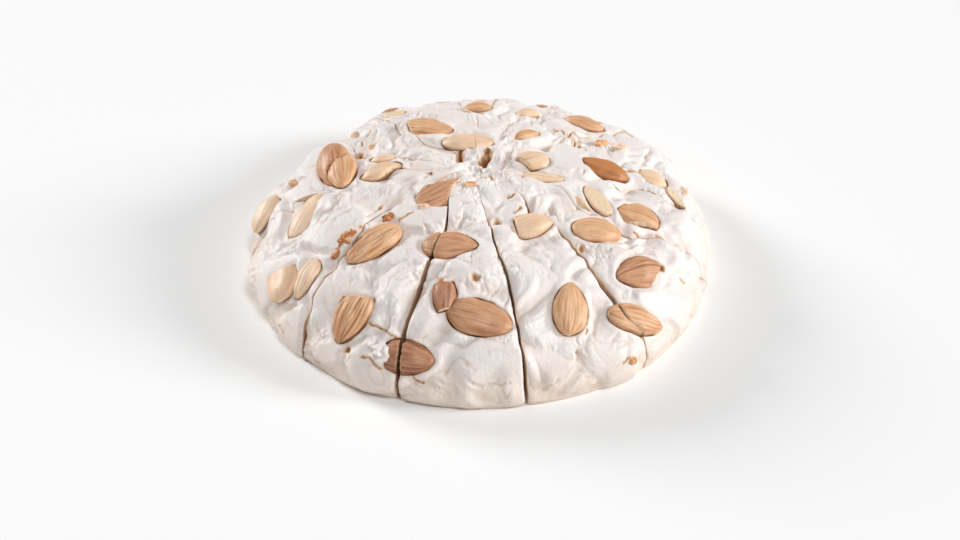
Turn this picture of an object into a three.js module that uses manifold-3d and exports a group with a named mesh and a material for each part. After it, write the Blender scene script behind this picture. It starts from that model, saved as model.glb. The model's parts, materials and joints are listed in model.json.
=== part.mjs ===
// A round, domed almond nougat cake, cut by six knife strokes into twelve wedges that still stand
// together. Almonds, whole, broken and sliced by the knife, lie half sunk in the nougat.
// Millimetres, +Z up. The cake's foot is on z = 0 and its middle is on the Z axis.
// An azimuth is in degrees from +X, growing anticlockwise seen from above; the front is at -90.

import * as THREE from "three";
import { mergeVertices } from "three/addons/utils/BufferGeometryUtils.js";
import Module from "manifold-3d";

const wasm = await Module();
wasm.setup();

// The cake as it was turned out and patted round: a flat dome that tucks in at the foot.
const CAKE_RADIUS = 103.6;
const CAKE_HEIGHT = 47.5;
const FULLNESS_OUT = 2.16;
const FULLNESS_UP = 1.95;
const FOOT_TUCK = 3.5;
const FOOT_TUCK_HEIGHT = 10;

// Soft swells (+) and hollows (-) of the pulled nougat: azimuth, radius, spread, rise.
const SWELLS = [
  // the outline at the foot and shoulders
  [30, 94, 15, 3.6],
  [9, 98, 8, 1.8],
  [-14, 99, 12, -2.0],
  [-52, 99, 15, 2.0],
  [-80, 101, 4, -2.4],
  [-119, 100, 9, 3.2],
  [-160, 98, 8, 1.4],
  [-165, 102, 5, 2.6],
  [-174, 99, 8, -1.8],
  [140, 92, 15, -2.6],
  [62, 93, 12, 1.4],
  [96, 90, 9, -1.4],
  [118, 96, 10, 1.4],
  // lobes on the top
  [-158, 62, 14, 2.8],
  [-137, 89, 7, 1.8],
  [-115, 75, 7, 2.0],
  [-93, 60, 7.5, 2.8],
  [-96, 34, 7, 1.8],
  [-67, 62, 12, 1.8],
  [-53, 98, 8, 1.4],
  [-9, 88, 11, 3.0],
  [-30, 39, 8, 2.0],
  [31, 82, 8, 1.6],
  [17, 22, 6, 1.2],
  [112, 68, 10, 1.0],
  [152, 78, 9, 1.4],
  [80, 78, 10, 0.6],
  // valleys between them
  [-166, 78, 6, -2.4],
  [-133, 54, 5, -2.2],
  [-28, 68, 6, -2.8],
  [-65, 49, 5.5, -2.2],
  [-36, 50, 5, -1.4],
  [-70, 91, 4, -1.6],
  [31, 52, 6, -1.4],
  [178, 44, 5, -1.6],
  [90, 4, 7, -2.2],
];

// The knife strokes, each from the middle outwards: azimuth, width of the gap that it left at some
// radii, and how far it strays sideways (anticlockwise +) at some radii. Wedge k lies between
// stroke k and the next.
const CLOSED = 0.4;
const STROKES = [
  {
    azimuth: -110,
    gap: [[12, CLOSED], [48, 1.2], [66, 1.9], [84, 2.1], [103, 1.6]],
    stray: [[20, -5.5], [42, 0], [84, 0], [103, 2]],
  },
  {
    azimuth: -80,
    gap: [[12, CLOSED], [60, 1.2], [85, 1.2], [103, 1.8]],
    stray: [[16, -3.4], [44, -2.4], [70, 0], [101, 0.9]],
  },
  {
    azimuth: -50,
    gap: [[20, CLOSED], [34, 1.3], [44, 0.5], [58, 1.5], [67, 1.2], [78, 2.3], [88, 1.6], [100, 0.8]],
    stray: [[28, 0.6], [37, -2.6], [45, 1.5], [80, -0.3], [94, -2.6], [100, 2]],
  },
  {
    azimuth: -20,
    gap: [[12, CLOSED], [60, 0.6]],
    stray: [[35, -0.7], [48, -7.5], [57, -5.8], [70, -8.2], [79, 2], [97, 7]],
  },
  { azimuth: 0, gap: [[12, CLOSED], [50, 0.7]], stray: [[41, -2], [60, -3.2], [69, 3], [80, 0]] },
  { azimuth: 43, gap: [[12, CLOSED], [50, 0.6]], stray: [[25, -2], [40, -2.5], [70, -4]] },
  { azimuth: 63, gap: [[60, CLOSED], [95, 0.6]], stray: [[31, -1.7], [45, -2], [67, 2.5], [100, 3]] },
  { azimuth: 97, gap: [[60, CLOSED], [95, 0.6]], stray: [[50, 0]] },
  { azimuth: 131, gap: [[12, CLOSED], [50, 0.6]], stray: [[19, -1.6], [34, 3.4], [49, 1.8], [71, -5]] },
  {
    azimuth: 159,
    gap: [[12, CLOSED], [50, 0.6]],
    stray: [[22, 0.7], [37, -1.3], [47, 0.3], [57, -2], [69, -13], [100, -14]],
  },
  {
    azimuth: 183,
    gap: [[12, CLOSED], [50, 0.6]],
    stray: [[20, -3.5], [34, -6.5], [48, 1.3], [57, 6.5], [66, 2], [80, 0.5]],
  },
  {
    azimuth: 221,
    gap: [[12, CLOSED], [50, 0.6], [100, 1]],
    stray: [[20, -3.5], [40, -7.5], [52, -6.3], [69, -2], [80, -1.2], [88, 2.2], [95, 2.6], [102, 6.5]],
  },
];
const TIP_RADIUS = 2.5;

// Beside a stroke the skin rolls over into the cut.
const EDGE_ROLL = 1;
const EDGE_ROLL_WIDTH = 2.4;

// Facets of a wedge: columns across it and rows from its tip to its foot.
const WEDGE_COLUMNS = 7;
const WEDGE_ROWS = 15;
const ROW_SPREAD = 1.35;

// The lower rows bulge out over the foot, so the upright cut faces reach the floor this far inside it.
const FACE_SETBACK = 4;

// The sectors that trim the almonds at the strokes reach this far past the cake, and keep this far
// inside the cut faces.
const SECTOR_SPARE = 30;
const SECTOR_INSET = 0.15;

// A usual almond. Its outline and its thickness grow from the butt and draw out to the point by
// these powers, and its two faces meet at the edge a little more sharply than an oval's.
const ALMOND = { length: 25, width: 13.5, thick: 8.5, sink: 1.2 };
const BUTT_POWER = 0.5;
const POINT_POWER_ACROSS = 0.64;
const POINT_POWER_UP = 0.55;
const EDGE_POWER = 0.95;
const ALMOND_SIDES = 8;
const ALMOND_RINGS = 6;
const POCKET_CLEARANCE = 0.3;
const CUTTER_SIZE = 60;

// How deep a crumb is pressed in, as a share of its width.
const CRUMB_DEPTH = 0.2;

// Tones that the roasted, skinned almonds run through.
const TONES = { pale: "#e6c79c", tan: "#dcb083", brown: "#c0895a", cream: "#e8d5b3" };
const NOUGAT = "#ece4de";

// The almonds. wedges: the wedges that hold it, two where a stroke went through it. at: azimuth and
// radius of its middle. tip: azimuth that its point looks to. Optional are its length, width, thick
// and sink, pitch (point up +) and roll (left side up +) in degrees, breaks ([x, y, facing]: broken
// off beyond x, y in its own plane, seen from above, point towards +x) and slice (cut flat at that height).
const ALMONDS = [
  // front wedge
  { wedges: [11, 0], at: [-103.6, 49.8], tip: -2, length: 23, width: 14, tone: "brown" },
  {
    wedges: [0], at: [-101, 73], tip: -92, length: 18, width: 10, tone: "brown",
    breaks: [[-6, 0, 180], [6, 0, 15]],
  },
  { wedges: [0], at: [-90, 80], tip: -13, length: 27, width: 15.5, tone: "tan" },
  { wedges: [11, 0], at: [-108, 95], tip: -16, length: 24, width: 14, tone: "brown", sink: 2 },
  // the wedges to the right of it
  {
    wedges: [1], at: [-59, 41.5], tip: 26, length: 21, width: 12, tone: "pale",
    breaks: [[-7, 0, 170], [2, 5, 70]],
  },
  { wedges: [1], at: [-64, 81.5], tip: 87, length: 22.5, width: 14.5, tone: "tan" },
  { wedges: [1, 2], at: [-48.5, 93.5], tip: 11, length: 26, width: 12.5, tone: "tan", sink: 1.8 },
  { wedges: [2], at: [-35, 59], tip: 12, length: 22, width: 14, tone: "tan" },
  { wedges: [2], at: [-37.3, 82], tip: -148, length: 24, width: 15, tone: "brown", breaks: [[-4, 5, 130]] },
  { wedges: [3], at: [-13, 27], tip: 0, length: 20, width: 7, thick: 7, tone: "cream", sink: 1.6 },
  { wedges: [3], at: [-18, 51.5], tip: 122, length: 18, width: 9, tone: "cream", slice: 1.5, sink: 1 },
  { wedges: [3], at: [-16, 69.5], tip: 178, length: 19.5, width: 14.5, tone: "tan", breaks: [[0, 5, 96]] },
  { wedges: [4], at: [13, 22.5], tip: 210, length: 17, width: 12.5, tone: "pale", breaks: [[4, 0, 10]] },
  { wedges: [4], at: [9.4, 54.4], tip: 160, length: 22.5, width: 13, tone: "brown" },
  { wedges: [4], at: [3.2, 85], tip: -60, length: 14, width: 6.5, tone: "cream", slice: 1.5 },
  { wedges: [4], at: [10.7, 77], tip: 185, length: 15.5, width: 13, tone: "cream", sink: 1.6 },
  { wedges: [4], at: [33, 99], tip: 120, length: 20, width: 12, tone: "brown", sink: 3 },
  // the far wedges
  { wedges: [5], at: [55, 36], tip: 30, length: 14, width: 6.5, thick: 7, tone: "tan" },
  { wedges: [5], at: [48.5, 72], tip: 165, length: 19, width: 12, tone: "tan" },
  { wedges: [5], at: [55, 98], tip: 150, length: 22, width: 12, tone: "tan", sink: 2 },
  { wedges: [6], at: [68, 60], tip: 20, length: 13, width: 7.5, thick: 7, tone: "pale" },
  { wedges: [6], at: [91, 62], tip: 180, length: 15, width: 10, tone: "tan", sink: 2 },
  { wedges: [6], at: [72, 97], tip: 100, length: 24, width: 13, tone: "brown", sink: 2 },
  { wedges: [6], at: [88, 96], tip: 20, length: 23, width: 12, tone: "pale" },
  { wedges: [6, 7], at: [104, 22], tip: -3, length: 23, width: 12, tone: "pale" },
  {
    wedges: [7], at: [122.5, 44], tip: -29, length: 27, width: 16, tone: "brown",
    breaks: [[-7, -3, 220]],
  },
  { wedges: [7], at: [121, 76], tip: -60, length: 15, width: 11, tone: "cream", slice: 2 },
  { wedges: [7], at: [103, 90], tip: 195, length: 25, width: 14, tone: "tan", sink: 2 },
  { wedges: [7], at: [115, 97], tip: 60, length: 22, width: 12, tone: "brown" },
  { wedges: [8], at: [138, 100], tip: 60, length: 24, width: 13, tone: "tan", sink: 3 },
  // the wedges to the left
  {
    wedges: [9], at: [172.3, 60], tip: -83, length: 26, width: 14, tone: "tan",
    sink: -1, pitch: -5, roll: -8,
  },
  { wedges: [9], at: [169.3, 63.8], tip: -86, length: 28, width: 15, tone: "brown", sink: -2.1, pitch: -14 },
  { wedges: [9], at: [175, 43], tip: 203, length: 21, width: 10, tone: "cream" },
  { wedges: [9], at: [162.5, 44.5], tip: 180, length: 12, width: 5.5, thick: 6, tone: "pale", sink: 1.6 },
  { wedges: [9], at: [176.7, 94.7], tip: -115, length: 20, width: 15, tone: "cream", sink: 0.6 },
  { wedges: [10], at: [-169.4, 75.3], tip: 60, length: 27, width: 12.5, thick: 7, tone: "cream", pitch: 7 },
  {
    wedges: [10], at: [-152, 92.4], tip: 94, length: 24, width: 16.5, tone: "pale",
    breaks: [[2.5, 0, 0]], pitch: -12,
  },
  { wedges: [10], at: [-144.6, 86.5], tip: -122, length: 18.5, width: 10, tone: "pale", roll: 20 },
  { wedges: [11], at: [-135.3, 61], tip: -146, length: 26, width: 14.2, tone: "tan", sink: 0.6 },
  { wedges: [11], at: [-131, 23.5], tip: 33, length: 26.5, width: 15.5, tone: "tan" },
  {
    wedges: [11], at: [-125.2, 88], tip: -125, length: 25.5, width: 15.5, tone: "brown",
    breaks: [[-7, -1, 200]],
  },
];

// Almond crumbs that are pressed into the skin of a wedge, and turned by that azimuth.
const CRUMBS = [
  { wedge: 11, at: [-131, 36], length: 5, width: 4, turn: 20 },
  { wedge: 10, at: [-144, 66], length: 9, width: 5, turn: 34 },
  { wedge: 10, at: [-143, 72.5], length: 6, width: 3.5, turn: 50 },
  { wedge: 11, at: [-140.5, 48], length: 6, width: 4, turn: 20 },
  { wedge: 0, at: [-108, 15], length: 6.5, width: 4, turn: 0 },
  { wedge: 1, at: [-54, 101], length: 4, width: 3, turn: 30 },
  { wedge: 3, at: [-24.5, 46], length: 10, width: 3, turn: -45 },
  { wedge: 4, at: [8.5, 89.5], length: 7, width: 4.5, turn: 80 },
  { wedge: 4, at: [26, 69.4], length: 7, width: 4.5, turn: 30 },
  { wedge: 4, at: [32, 64.5], length: 8, width: 4.5, turn: 45 },
  { wedge: 5, at: [50, 38], length: 6, width: 4, turn: 10 },
  { wedge: 6, at: [78, 19], length: 6, width: 3, turn: 80 },
  { wedge: 8, at: [150, 54], length: 5, width: 4, turn: -20 },
  { wedge: 8, at: [138, 77], length: 5, width: 4, turn: 10 },
  { wedge: 9, at: [169, 84], length: 5, width: 4, turn: -40 },
];

const radians = THREE.MathUtils.degToRad;

// A point of the even dome and its outward normal, at a profile angle from 0 (foot) to a quarter turn.
function domeProfile(angle) {
  const up = CAKE_HEIGHT * Math.sin(angle) ** (2 / FULLNESS_UP);
  const tuck = FOOT_TUCK * Math.max(0, 1 - up / FOOT_TUCK_HEIGHT) ** 2;
  return { out: CAKE_RADIUS * Math.cos(angle) ** (2 / FULLNESS_OUT) - tuck, up };
}

function domeNormal(angle) {
  const step = 0.01;
  const lower = domeProfile(Math.max(angle - step, 0));
  const upper = domeProfile(Math.min(angle + step, Math.PI / 2));
  return new THREE.Vector2(upper.up - lower.up, lower.out - upper.out).normalize();
}

function angleAtRadius(radius) {
  return Math.acos((radius / CAKE_RADIUS) ** (FULLNESS_OUT / 2));
}

function around(azimuth, out, up) {
  return new THREE.Vector3(out * Math.cos(azimuth), out * Math.sin(azimuth), up);
}

const swellCentres = SWELLS.map(([azimuth, radius, spread, rise]) => {
  const { out, up } = domeProfile(angleAtRadius(radius));
  return { centre: around(radians(azimuth), out, up), spread, rise };
});

function swellAt(point) {
  let total = 0;
  for (const { centre, spread, rise } of swellCentres) {
    total += rise * Math.exp(-point.distanceToSquared(centre) / (2 * spread * spread));
  }
  return total;
}

// A point of the uneven skin, raised by `lift` along the dome's normal. The foot stays on the floor.
function skinPoint(azimuth, angle, lift) {
  const { out, up } = domeProfile(angle);
  const normal = domeNormal(angle);
  const rise = swellAt(around(azimuth, out, up)) + lift;
  const settled = angle === 0 ? 0 : Math.max(0, up + rise * normal.y);
  return around(azimuth, out + rise * normal.x, settled);
}

// A value given at some radii, eased from one of them to the next and even beyond them.
function easedAt(steps, radius) {
  if (radius < steps[0][0]) return steps[0][1];
  for (let i = 1; i < steps.length; i++) {
    const [from, start] = steps[i - 1];
    const [to, end] = steps[i];
    if (radius < to) return THREE.MathUtils.lerp(start, end, THREE.MathUtils.smoothstep(radius, from, to));
  }
  return steps.at(-1)[1];
}

// The azimuths of a wedge's two cut faces at a radius, moved in by `inset`.
function wedgeSides(index, radius, inset) {
  const face = (stroke, side) => {
    const half = easedAt(stroke.gap, radius) / 2 + inset;
    return radians(stroke.azimuth) + (easedAt([[0, 0], ...stroke.stray], radius) + side * half) / radius;
  };
  const start = face(STROKES[index], 1);
  let end = face(STROKES[(index + 1) % STROKES.length], -1);
  while (end < start) end += 2 * Math.PI;
  return { start, end };
}

function solidFrom(geometry) {
  const bare = geometry.clone();
  bare.deleteAttribute("normal");
  bare.deleteAttribute("uv");
  const merged = mergeVertices(bare, 1e-5);
  const vertProperties = new Float32Array(merged.attributes.position.array);
  const triVerts = new Uint32Array(merged.index.array);
  return new wasm.Manifold(new wasm.Mesh({ numProp: 3, vertProperties, triVerts }));
}

function geometryFrom(solid) {
  const { vertProperties, triVerts } = solid.getMesh();
  const geometry = new THREE.BufferGeometry();
  geometry.setAttribute("position", new THREE.BufferAttribute(new Float32Array(vertProperties), 3));
  geometry.setIndex(new THREE.BufferAttribute(new Uint32Array(triVerts), 1));
  geometry.computeVertexNormals();
  return geometry;
}

function geometryOf(points, triangles) {
  const geometry = new THREE.BufferGeometry();
  geometry.setAttribute("position", new THREE.Float32BufferAttribute(points.flatMap((p) => p.toArray()), 3));
  geometry.setIndex(triangles);
  return geometry;
}

// The profile angle of a row of the wedges' skin, from their tip to the foot.
function rowAngle(row) {
  return row === WEDGE_ROWS ? 0 : angleAtRadius(TIP_RADIUS) * (1 - (row / WEDGE_ROWS) ** ROW_SPREAD);
}

// A wedge without its pockets. Its skin is a grid that follows both cut faces, which stand upright.
function wedgeBlock(index) {
  const points = [];
  const triangles = [];
  const skin = [];
  for (let row = 0; row <= WEDGE_ROWS; row++) {
    const angle = rowAngle(row);
    const { out } = domeProfile(angle);
    const { start, end } = wedgeSides(index, out, 0);
    const line = [];
    for (let column = 0; column <= WEDGE_COLUMNS; column++) {
      const across = (1 - Math.cos((Math.PI * column) / WEDGE_COLUMNS)) / 2;
      const toEdge = Math.min(across, 1 - across) * (end - start) * out;
      const roll = -EDGE_ROLL * Math.exp(-toEdge / EDGE_ROLL_WIDTH);
      line.push(points.push(skinPoint(THREE.MathUtils.lerp(start, end, across), angle, roll)) - 1);
    }
    skin.push(line);
  }
  for (let row = 0; row < WEDGE_ROWS; row++) {
    for (let column = 0; column < WEDGE_COLUMNS; column++) {
      const [a, b] = [skin[row][column], skin[row][column + 1]];
      const [c, d] = [skin[row + 1][column + 1], skin[row + 1][column]];
      if ((row + column) % 2) {
        triangles.push(a, d, b, b, d, c);
      } else {
        triangles.push(a, d, c, a, c, b);
      }
    }
  }
  // Under each side of the skin stands an upright cut face, down to the foot's inner rows.
  const floorRadius = domeProfile(0).out - FACE_SETBACK;
  const under = (vertex) => points.push(new THREE.Vector3(points[vertex].x, points[vertex].y, 0)) - 1;
  const inner = skin.filter((line) => Math.hypot(points[line[0]].x, points[line[0]].y) < floorRadius);
  const last = inner.length - 1;
  const starts = inner.map((line) => under(line[0]));
  const ends = inner.map((line) => under(line[WEDGE_COLUMNS]));
  for (let row = 0; row < last; row++) {
    const [s, e] = [skin[row][0], skin[row][WEDGE_COLUMNS]];
    const [sNext, eNext] = [skin[row + 1][0], skin[row + 1][WEDGE_COLUMNS]];
    triangles.push(s, starts[row], starts[row + 1], s, starts[row + 1], sNext);
    triangles.push(e, ends[row + 1], ends[row], e, eNext, ends[row + 1]);
    triangles.push(starts[row], ends[row], ends[row + 1], starts[row], ends[row + 1], starts[row + 1]);
  }
  for (let row = last; row < WEDGE_ROWS; row++) {
    triangles.push(starts[last], skin[row + 1][0], skin[row][0]);
    triangles.push(ends[last], skin[row][WEDGE_COLUMNS], skin[row + 1][WEDGE_COLUMNS]);
  }
  for (let column = 0; column < WEDGE_COLUMNS; column++) {
    triangles.push(starts[0], skin[0][column], skin[0][column + 1]);
    triangles.push(starts[last], skin[WEDGE_ROWS][column + 1], skin[WEDGE_ROWS][column]);
  }
  triangles.push(starts[0], skin[0][WEDGE_COLUMNS], ends[0]);
  triangles.push(starts[last], ends[last], skin[WEDGE_ROWS][WEDGE_COLUMNS]);
  return solidFrom(geometryOf(points, triangles));
}

// The upright sector that a wedge stands in, which trims the almonds at the strokes. Its faces turn
// at the radii of the skin's rows, as the wedge's own do, and go straight on past the foot.
function wedgeSector(index) {
  const outline = [];
  const back = [];
  const foot = domeProfile(0).out;
  const radii = Array.from({ length: WEDGE_ROWS + 1 }, (_, row) => domeProfile(rowAngle(row)).out);
  for (const radius of [...radii.filter((out) => out < foot), foot, CAKE_RADIUS + SECTOR_SPARE]) {
    const { start, end } = wedgeSides(index, radius, SECTOR_INSET);
    outline.push(new THREE.Vector2(radius * Math.cos(start), radius * Math.sin(start)));
    back.unshift(new THREE.Vector2(radius * Math.cos(end), radius * Math.sin(end)));
  }
  const shape = new THREE.Shape([...outline, ...back]);
  return solidFrom(new THREE.ExtrudeGeometry(shape, { depth: CAKE_HEIGHT * 2, bevelEnabled: false }));
}

// An almond lying along X with its point at +X: round at the butt, drawn out to the point, and a
// little flatter at its edges than an oval. `spare` makes it that much larger all round.
function almondBody(almond, spare) {
  const length = (almond.length ?? ALMOND.length) + 2 * spare;
  const width = (almond.width ?? ALMOND.width) + 2 * spare;
  const thick = (almond.thick ?? ALMOND.thick) + 2 * spare;
  const fullness = (along, pointPower) => {
    const widest = BUTT_POWER / (BUTT_POWER + pointPower);
    return (along / widest) ** BUTT_POWER * ((1 - along) / (1 - widest)) ** pointPower;
  };
  const geometry = new THREE.SphereGeometry(1, ALMOND_SIDES, ALMOND_RINGS).rotateZ(Math.PI / 2);
  const position = geometry.attributes.position;
  const point = new THREE.Vector3();
  for (let i = 0; i < position.count; i++) {
    point.fromBufferAttribute(position, i);
    const along = THREE.MathUtils.clamp((1 + point.x) / 2, 0, 1);
    const ring = Math.hypot(point.y, point.z);
    const side = ring > 1e-6 ? point.y / ring : 0;
    const top = ring > 1e-6 ? point.z / ring : 0;
    point.x = (along - 0.5) * length;
    point.y = (width / 2) * side * fullness(along, POINT_POWER_ACROSS);
    point.z = (thick / 2) * Math.sign(top) * Math.abs(top) ** EDGE_POWER * fullness(along, POINT_POWER_UP);
    position.setXYZ(i, point.x, point.y, point.z);
  }
  let body = solidFrom(geometry);
  const cutter = () => new THREE.BoxGeometry(CUTTER_SIZE, CUTTER_SIZE, CUTTER_SIZE);
  const clear = CUTTER_SIZE / 2 + spare;
  for (const [x, y, facing] of almond.breaks ?? []) {
    const beyond = cutter().translate(clear, 0, 0).rotateZ(radians(facing)).translate(x, y, 0);
    body = body.subtract(solidFrom(beyond));
  }
  if (almond.slice !== undefined) {
    body = body.subtract(solidFrom(cutter().translate(0, 0, clear + almond.slice)));
  }
  return body;
}

// Where something lies in the skin: X along `heading` as seen from above, Z along the dome's normal.
function placeOnSkin([azimuth, radius], heading, sink, pitch, roll) {
  const angle = angleAtRadius(radius);
  const slope = domeNormal(angle);
  const normal = around(radians(azimuth), slope.x, slope.y);
  const along = around(radians(heading), 1, 0);
  along.z = -along.dot(normal) / normal.z;
  along.normalize();
  const across = new THREE.Vector3().crossVectors(normal, along);
  const place = new THREE.Matrix4().makeBasis(along, across, normal);
  place.multiply(new THREE.Matrix4().makeRotationY(radians(-pitch)));
  place.multiply(new THREE.Matrix4().makeRotationX(radians(roll)));
  place.setPosition(skinPoint(radians(azimuth), angle, -sink));
  return place;
}

function lay(solid, place) {
  return solid.transform(place.elements);
}

function almondPlace(almond) {
  const sink = almond.sink ?? ALMOND.sink;
  return placeOnSkin(almond.at, almond.tip, sink, almond.pitch ?? 0, almond.roll ?? 0);
}

// A crumb is a small rough-cornered bit that is fused to the skin.
function crumbBody({ at, length, width, turn }) {
  const geometry = new THREE.IcosahedronGeometry(0.5, 0).scale(length, width, width);
  return lay(solidFrom(geometry), placeOnSkin(at, turn, width * CRUMB_DEPTH, 0, 0));
}

const laid = ALMONDS.map((almond) => ({
  almond,
  body: lay(almondBody(almond, 0), almondPlace(almond)),
  pocket: lay(almondBody(almond, POCKET_CLEARANCE), almondPlace(almond)),
}));

// Almonds that touch give way to the ones that were laid before them.
laid.forEach((entry, index) => {
  for (const earlier of laid.slice(0, index)) {
    entry.body = entry.body.subtract(earlier.pocket);
  }
});

const cake = new THREE.Group();

function addPiece(name, solid, color, roughness) {
  const material = new THREE.MeshStandardMaterial({ color, roughness, metalness: 0 });
  const mesh = new THREE.Mesh(geometryFrom(solid), material);
  mesh.name = name;
  cake.add(mesh);
}

const number = (value) => String(value).padStart(2, "0");

const sectors = STROKES.map((_, index) => wedgeSector(index));

STROKES.forEach((_, index) => {
  let wedge = wedgeBlock(index);
  for (const crumb of CRUMBS) {
    if (crumb.wedge === index) wedge = wedge.add(crumbBody(crumb).intersect(sectors[index]));
  }
  for (const { almond, pocket } of laid) {
    if (almond.wedges.includes(index)) wedge = wedge.subtract(pocket);
  }
  addPiece(`wedge_${number(index + 1)}`, wedge, NOUGAT, 0.5);
});

let count = 0;
for (const { almond, body } of laid) {
  for (const index of almond.wedges) {
    count += 1;
    addPiece(`almond_${number(count)}`, body.intersect(sectors[index]), TONES[almond.tone], 0.45);
  }
}

export default cake;
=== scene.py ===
import json
import random
from math import pi, radians

import bpy
import numpy as np
from mathutils import Matrix, Vector, noise
from mathutils.bvhtree import BVHTree

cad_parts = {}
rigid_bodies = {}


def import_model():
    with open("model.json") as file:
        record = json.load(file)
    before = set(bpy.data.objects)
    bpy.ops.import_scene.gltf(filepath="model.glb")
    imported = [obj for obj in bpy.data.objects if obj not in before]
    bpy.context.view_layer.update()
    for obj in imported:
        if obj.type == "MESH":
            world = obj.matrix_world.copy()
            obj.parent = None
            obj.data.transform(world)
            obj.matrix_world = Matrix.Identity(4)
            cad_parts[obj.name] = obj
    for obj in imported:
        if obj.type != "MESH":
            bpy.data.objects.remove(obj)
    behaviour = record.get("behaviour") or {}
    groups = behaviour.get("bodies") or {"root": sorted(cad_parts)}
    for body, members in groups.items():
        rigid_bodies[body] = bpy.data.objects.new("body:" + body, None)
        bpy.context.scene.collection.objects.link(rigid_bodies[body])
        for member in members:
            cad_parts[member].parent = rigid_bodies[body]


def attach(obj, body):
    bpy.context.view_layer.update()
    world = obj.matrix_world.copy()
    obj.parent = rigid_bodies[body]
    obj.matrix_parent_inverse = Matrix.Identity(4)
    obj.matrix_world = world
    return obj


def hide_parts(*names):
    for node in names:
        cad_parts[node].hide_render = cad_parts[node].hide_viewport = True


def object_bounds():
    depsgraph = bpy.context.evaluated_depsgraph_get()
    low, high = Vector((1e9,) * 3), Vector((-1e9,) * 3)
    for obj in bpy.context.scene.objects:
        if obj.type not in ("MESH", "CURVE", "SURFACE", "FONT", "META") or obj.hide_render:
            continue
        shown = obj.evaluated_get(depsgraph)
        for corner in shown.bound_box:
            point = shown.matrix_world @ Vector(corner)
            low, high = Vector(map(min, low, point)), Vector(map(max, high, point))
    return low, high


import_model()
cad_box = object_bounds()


# ---- Studio ----------------------------------------------------------------------------------
# A pale matt tabletop that runs out of sight on all sides. Three wide soft lamps light the cake, one
# low at its right, one low behind its left and one high over its front, in a white room.

def linear(hex_colour):
    """The linear colour of an sRGB hex value."""
    parts = [int(hex_colour[i:i + 2], 16) / 255 for i in (1, 3, 5)]
    return [c / 12.92 if c <= 0.04045 else ((c + 0.055) / 1.055) ** 2.4 for c in parts] + [1.0]


def add_node(tree, kind, inputs=None, **settings):
    """A node with its settings, and its inputs set to values or linked to sockets."""
    node = tree.nodes.new(kind)
    for name, value in settings.items():
        setattr(node, name, value)
    for name, value in (inputs or {}).items():
        if isinstance(value, bpy.types.NodeSocket):
            tree.links.new(value, node.inputs[name])
        else:
            node.inputs[name].default_value = value
    return node


def new_material(name):
    material = bpy.data.materials.new(name)
    material.use_nodes = True
    material.node_tree.nodes.clear()
    return material, material.node_tree


# The camera's place in metres, and the degrees that it looks down.
CAMERA_PLACE = (0, -0.5699, 0.4315)
CAMERA_DOWN = 37.6
SENSOR = 36
LENS = 60.56

camera_data = bpy.data.cameras.new("camera")
camera_data.sensor_width = SENSOR
camera_data.lens = LENS
camera = bpy.data.objects.new("camera", camera_data)
camera.location = CAMERA_PLACE
camera.rotation_euler = (radians(90 - CAMERA_DOWN), 0, 0)
bpy.context.collection.objects.link(camera)
bpy.context.scene.camera = camera
bpy.context.scene.view_settings.view_transform = "Standard"

# The lamps are far away, and look SOFTNESS degrees wide.
SOFTNESS = 20
LAMPS = [
    # name, the side it shines from, watts a square metre
    ("lamp_right", (0.93, -0.08, 0.36), 2.1),
    ("lamp_left", (-0.77, 0.54, 0.36), 1.95),
    ("lamp_over", (0.2, -0.42, 0.88), 1.05),
]
for name, place, watts in LAMPS:
    light = bpy.data.lights.new(name, "SUN")
    light.angle = radians(SOFTNESS)
    light.energy = watts
    lamp = bpy.data.objects.new(name, light)
    lamp.location = place
    lamp.rotation_euler = Vector(place).to_track_quat("Z", "Y").to_euler()
    bpy.context.collection.objects.link(lamp)

ROOM_STRENGTH = 0.2
world = bpy.context.scene.world or bpy.data.worlds.new("room")
bpy.context.scene.world = world
world.use_nodes = True
world.node_tree.nodes.clear()
room = add_node(
    world.node_tree, "ShaderNodeBackground", {"Color": linear("#ffffff"), "Strength": ROOM_STRENGTH},
)
add_node(world.node_tree, "ShaderNodeOutputWorld", {"Surface": room.outputs[0]})

TABLE_SIZE = 12
bpy.ops.object.select_all(action="DESELECT")
bpy.ops.mesh.primitive_plane_add(size=TABLE_SIZE, location=(0, 0, 0))
table = bpy.context.object
table.name = "tabletop"
matt_white, tree = new_material("matt_white_tabletop")
paint = add_node(tree, "ShaderNodeBsdfPrincipled", {"Base Color": linear("#ffffff"), "Roughness": 0.8})
add_node(tree, "ShaderNodeOutputMaterial", {"Surface": paint.outputs[0]})
table.data.materials.append(matt_white)


# ---- The cake's form ---------------------------------------------------------------------------
# Nougat beaten with egg white, turned out warm and patted into a flat dome that tucks in at the
# foot. Its skin was pulled as it set, which left lobes, creases, torn spots and small blow holes.
# Sizes are in millimetres. An azimuth is in degrees from +X, anticlockwise seen from above.

MM = 0.001
CAKE_RADIUS = 103.6
CAKE_HEIGHT = 47.5
FULLNESS_OUT = 2.16
FULLNESS_UP = 1.95
FOOT_TUCK = 3.5
FOOT_TUCK_HEIGHT = 10

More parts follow.
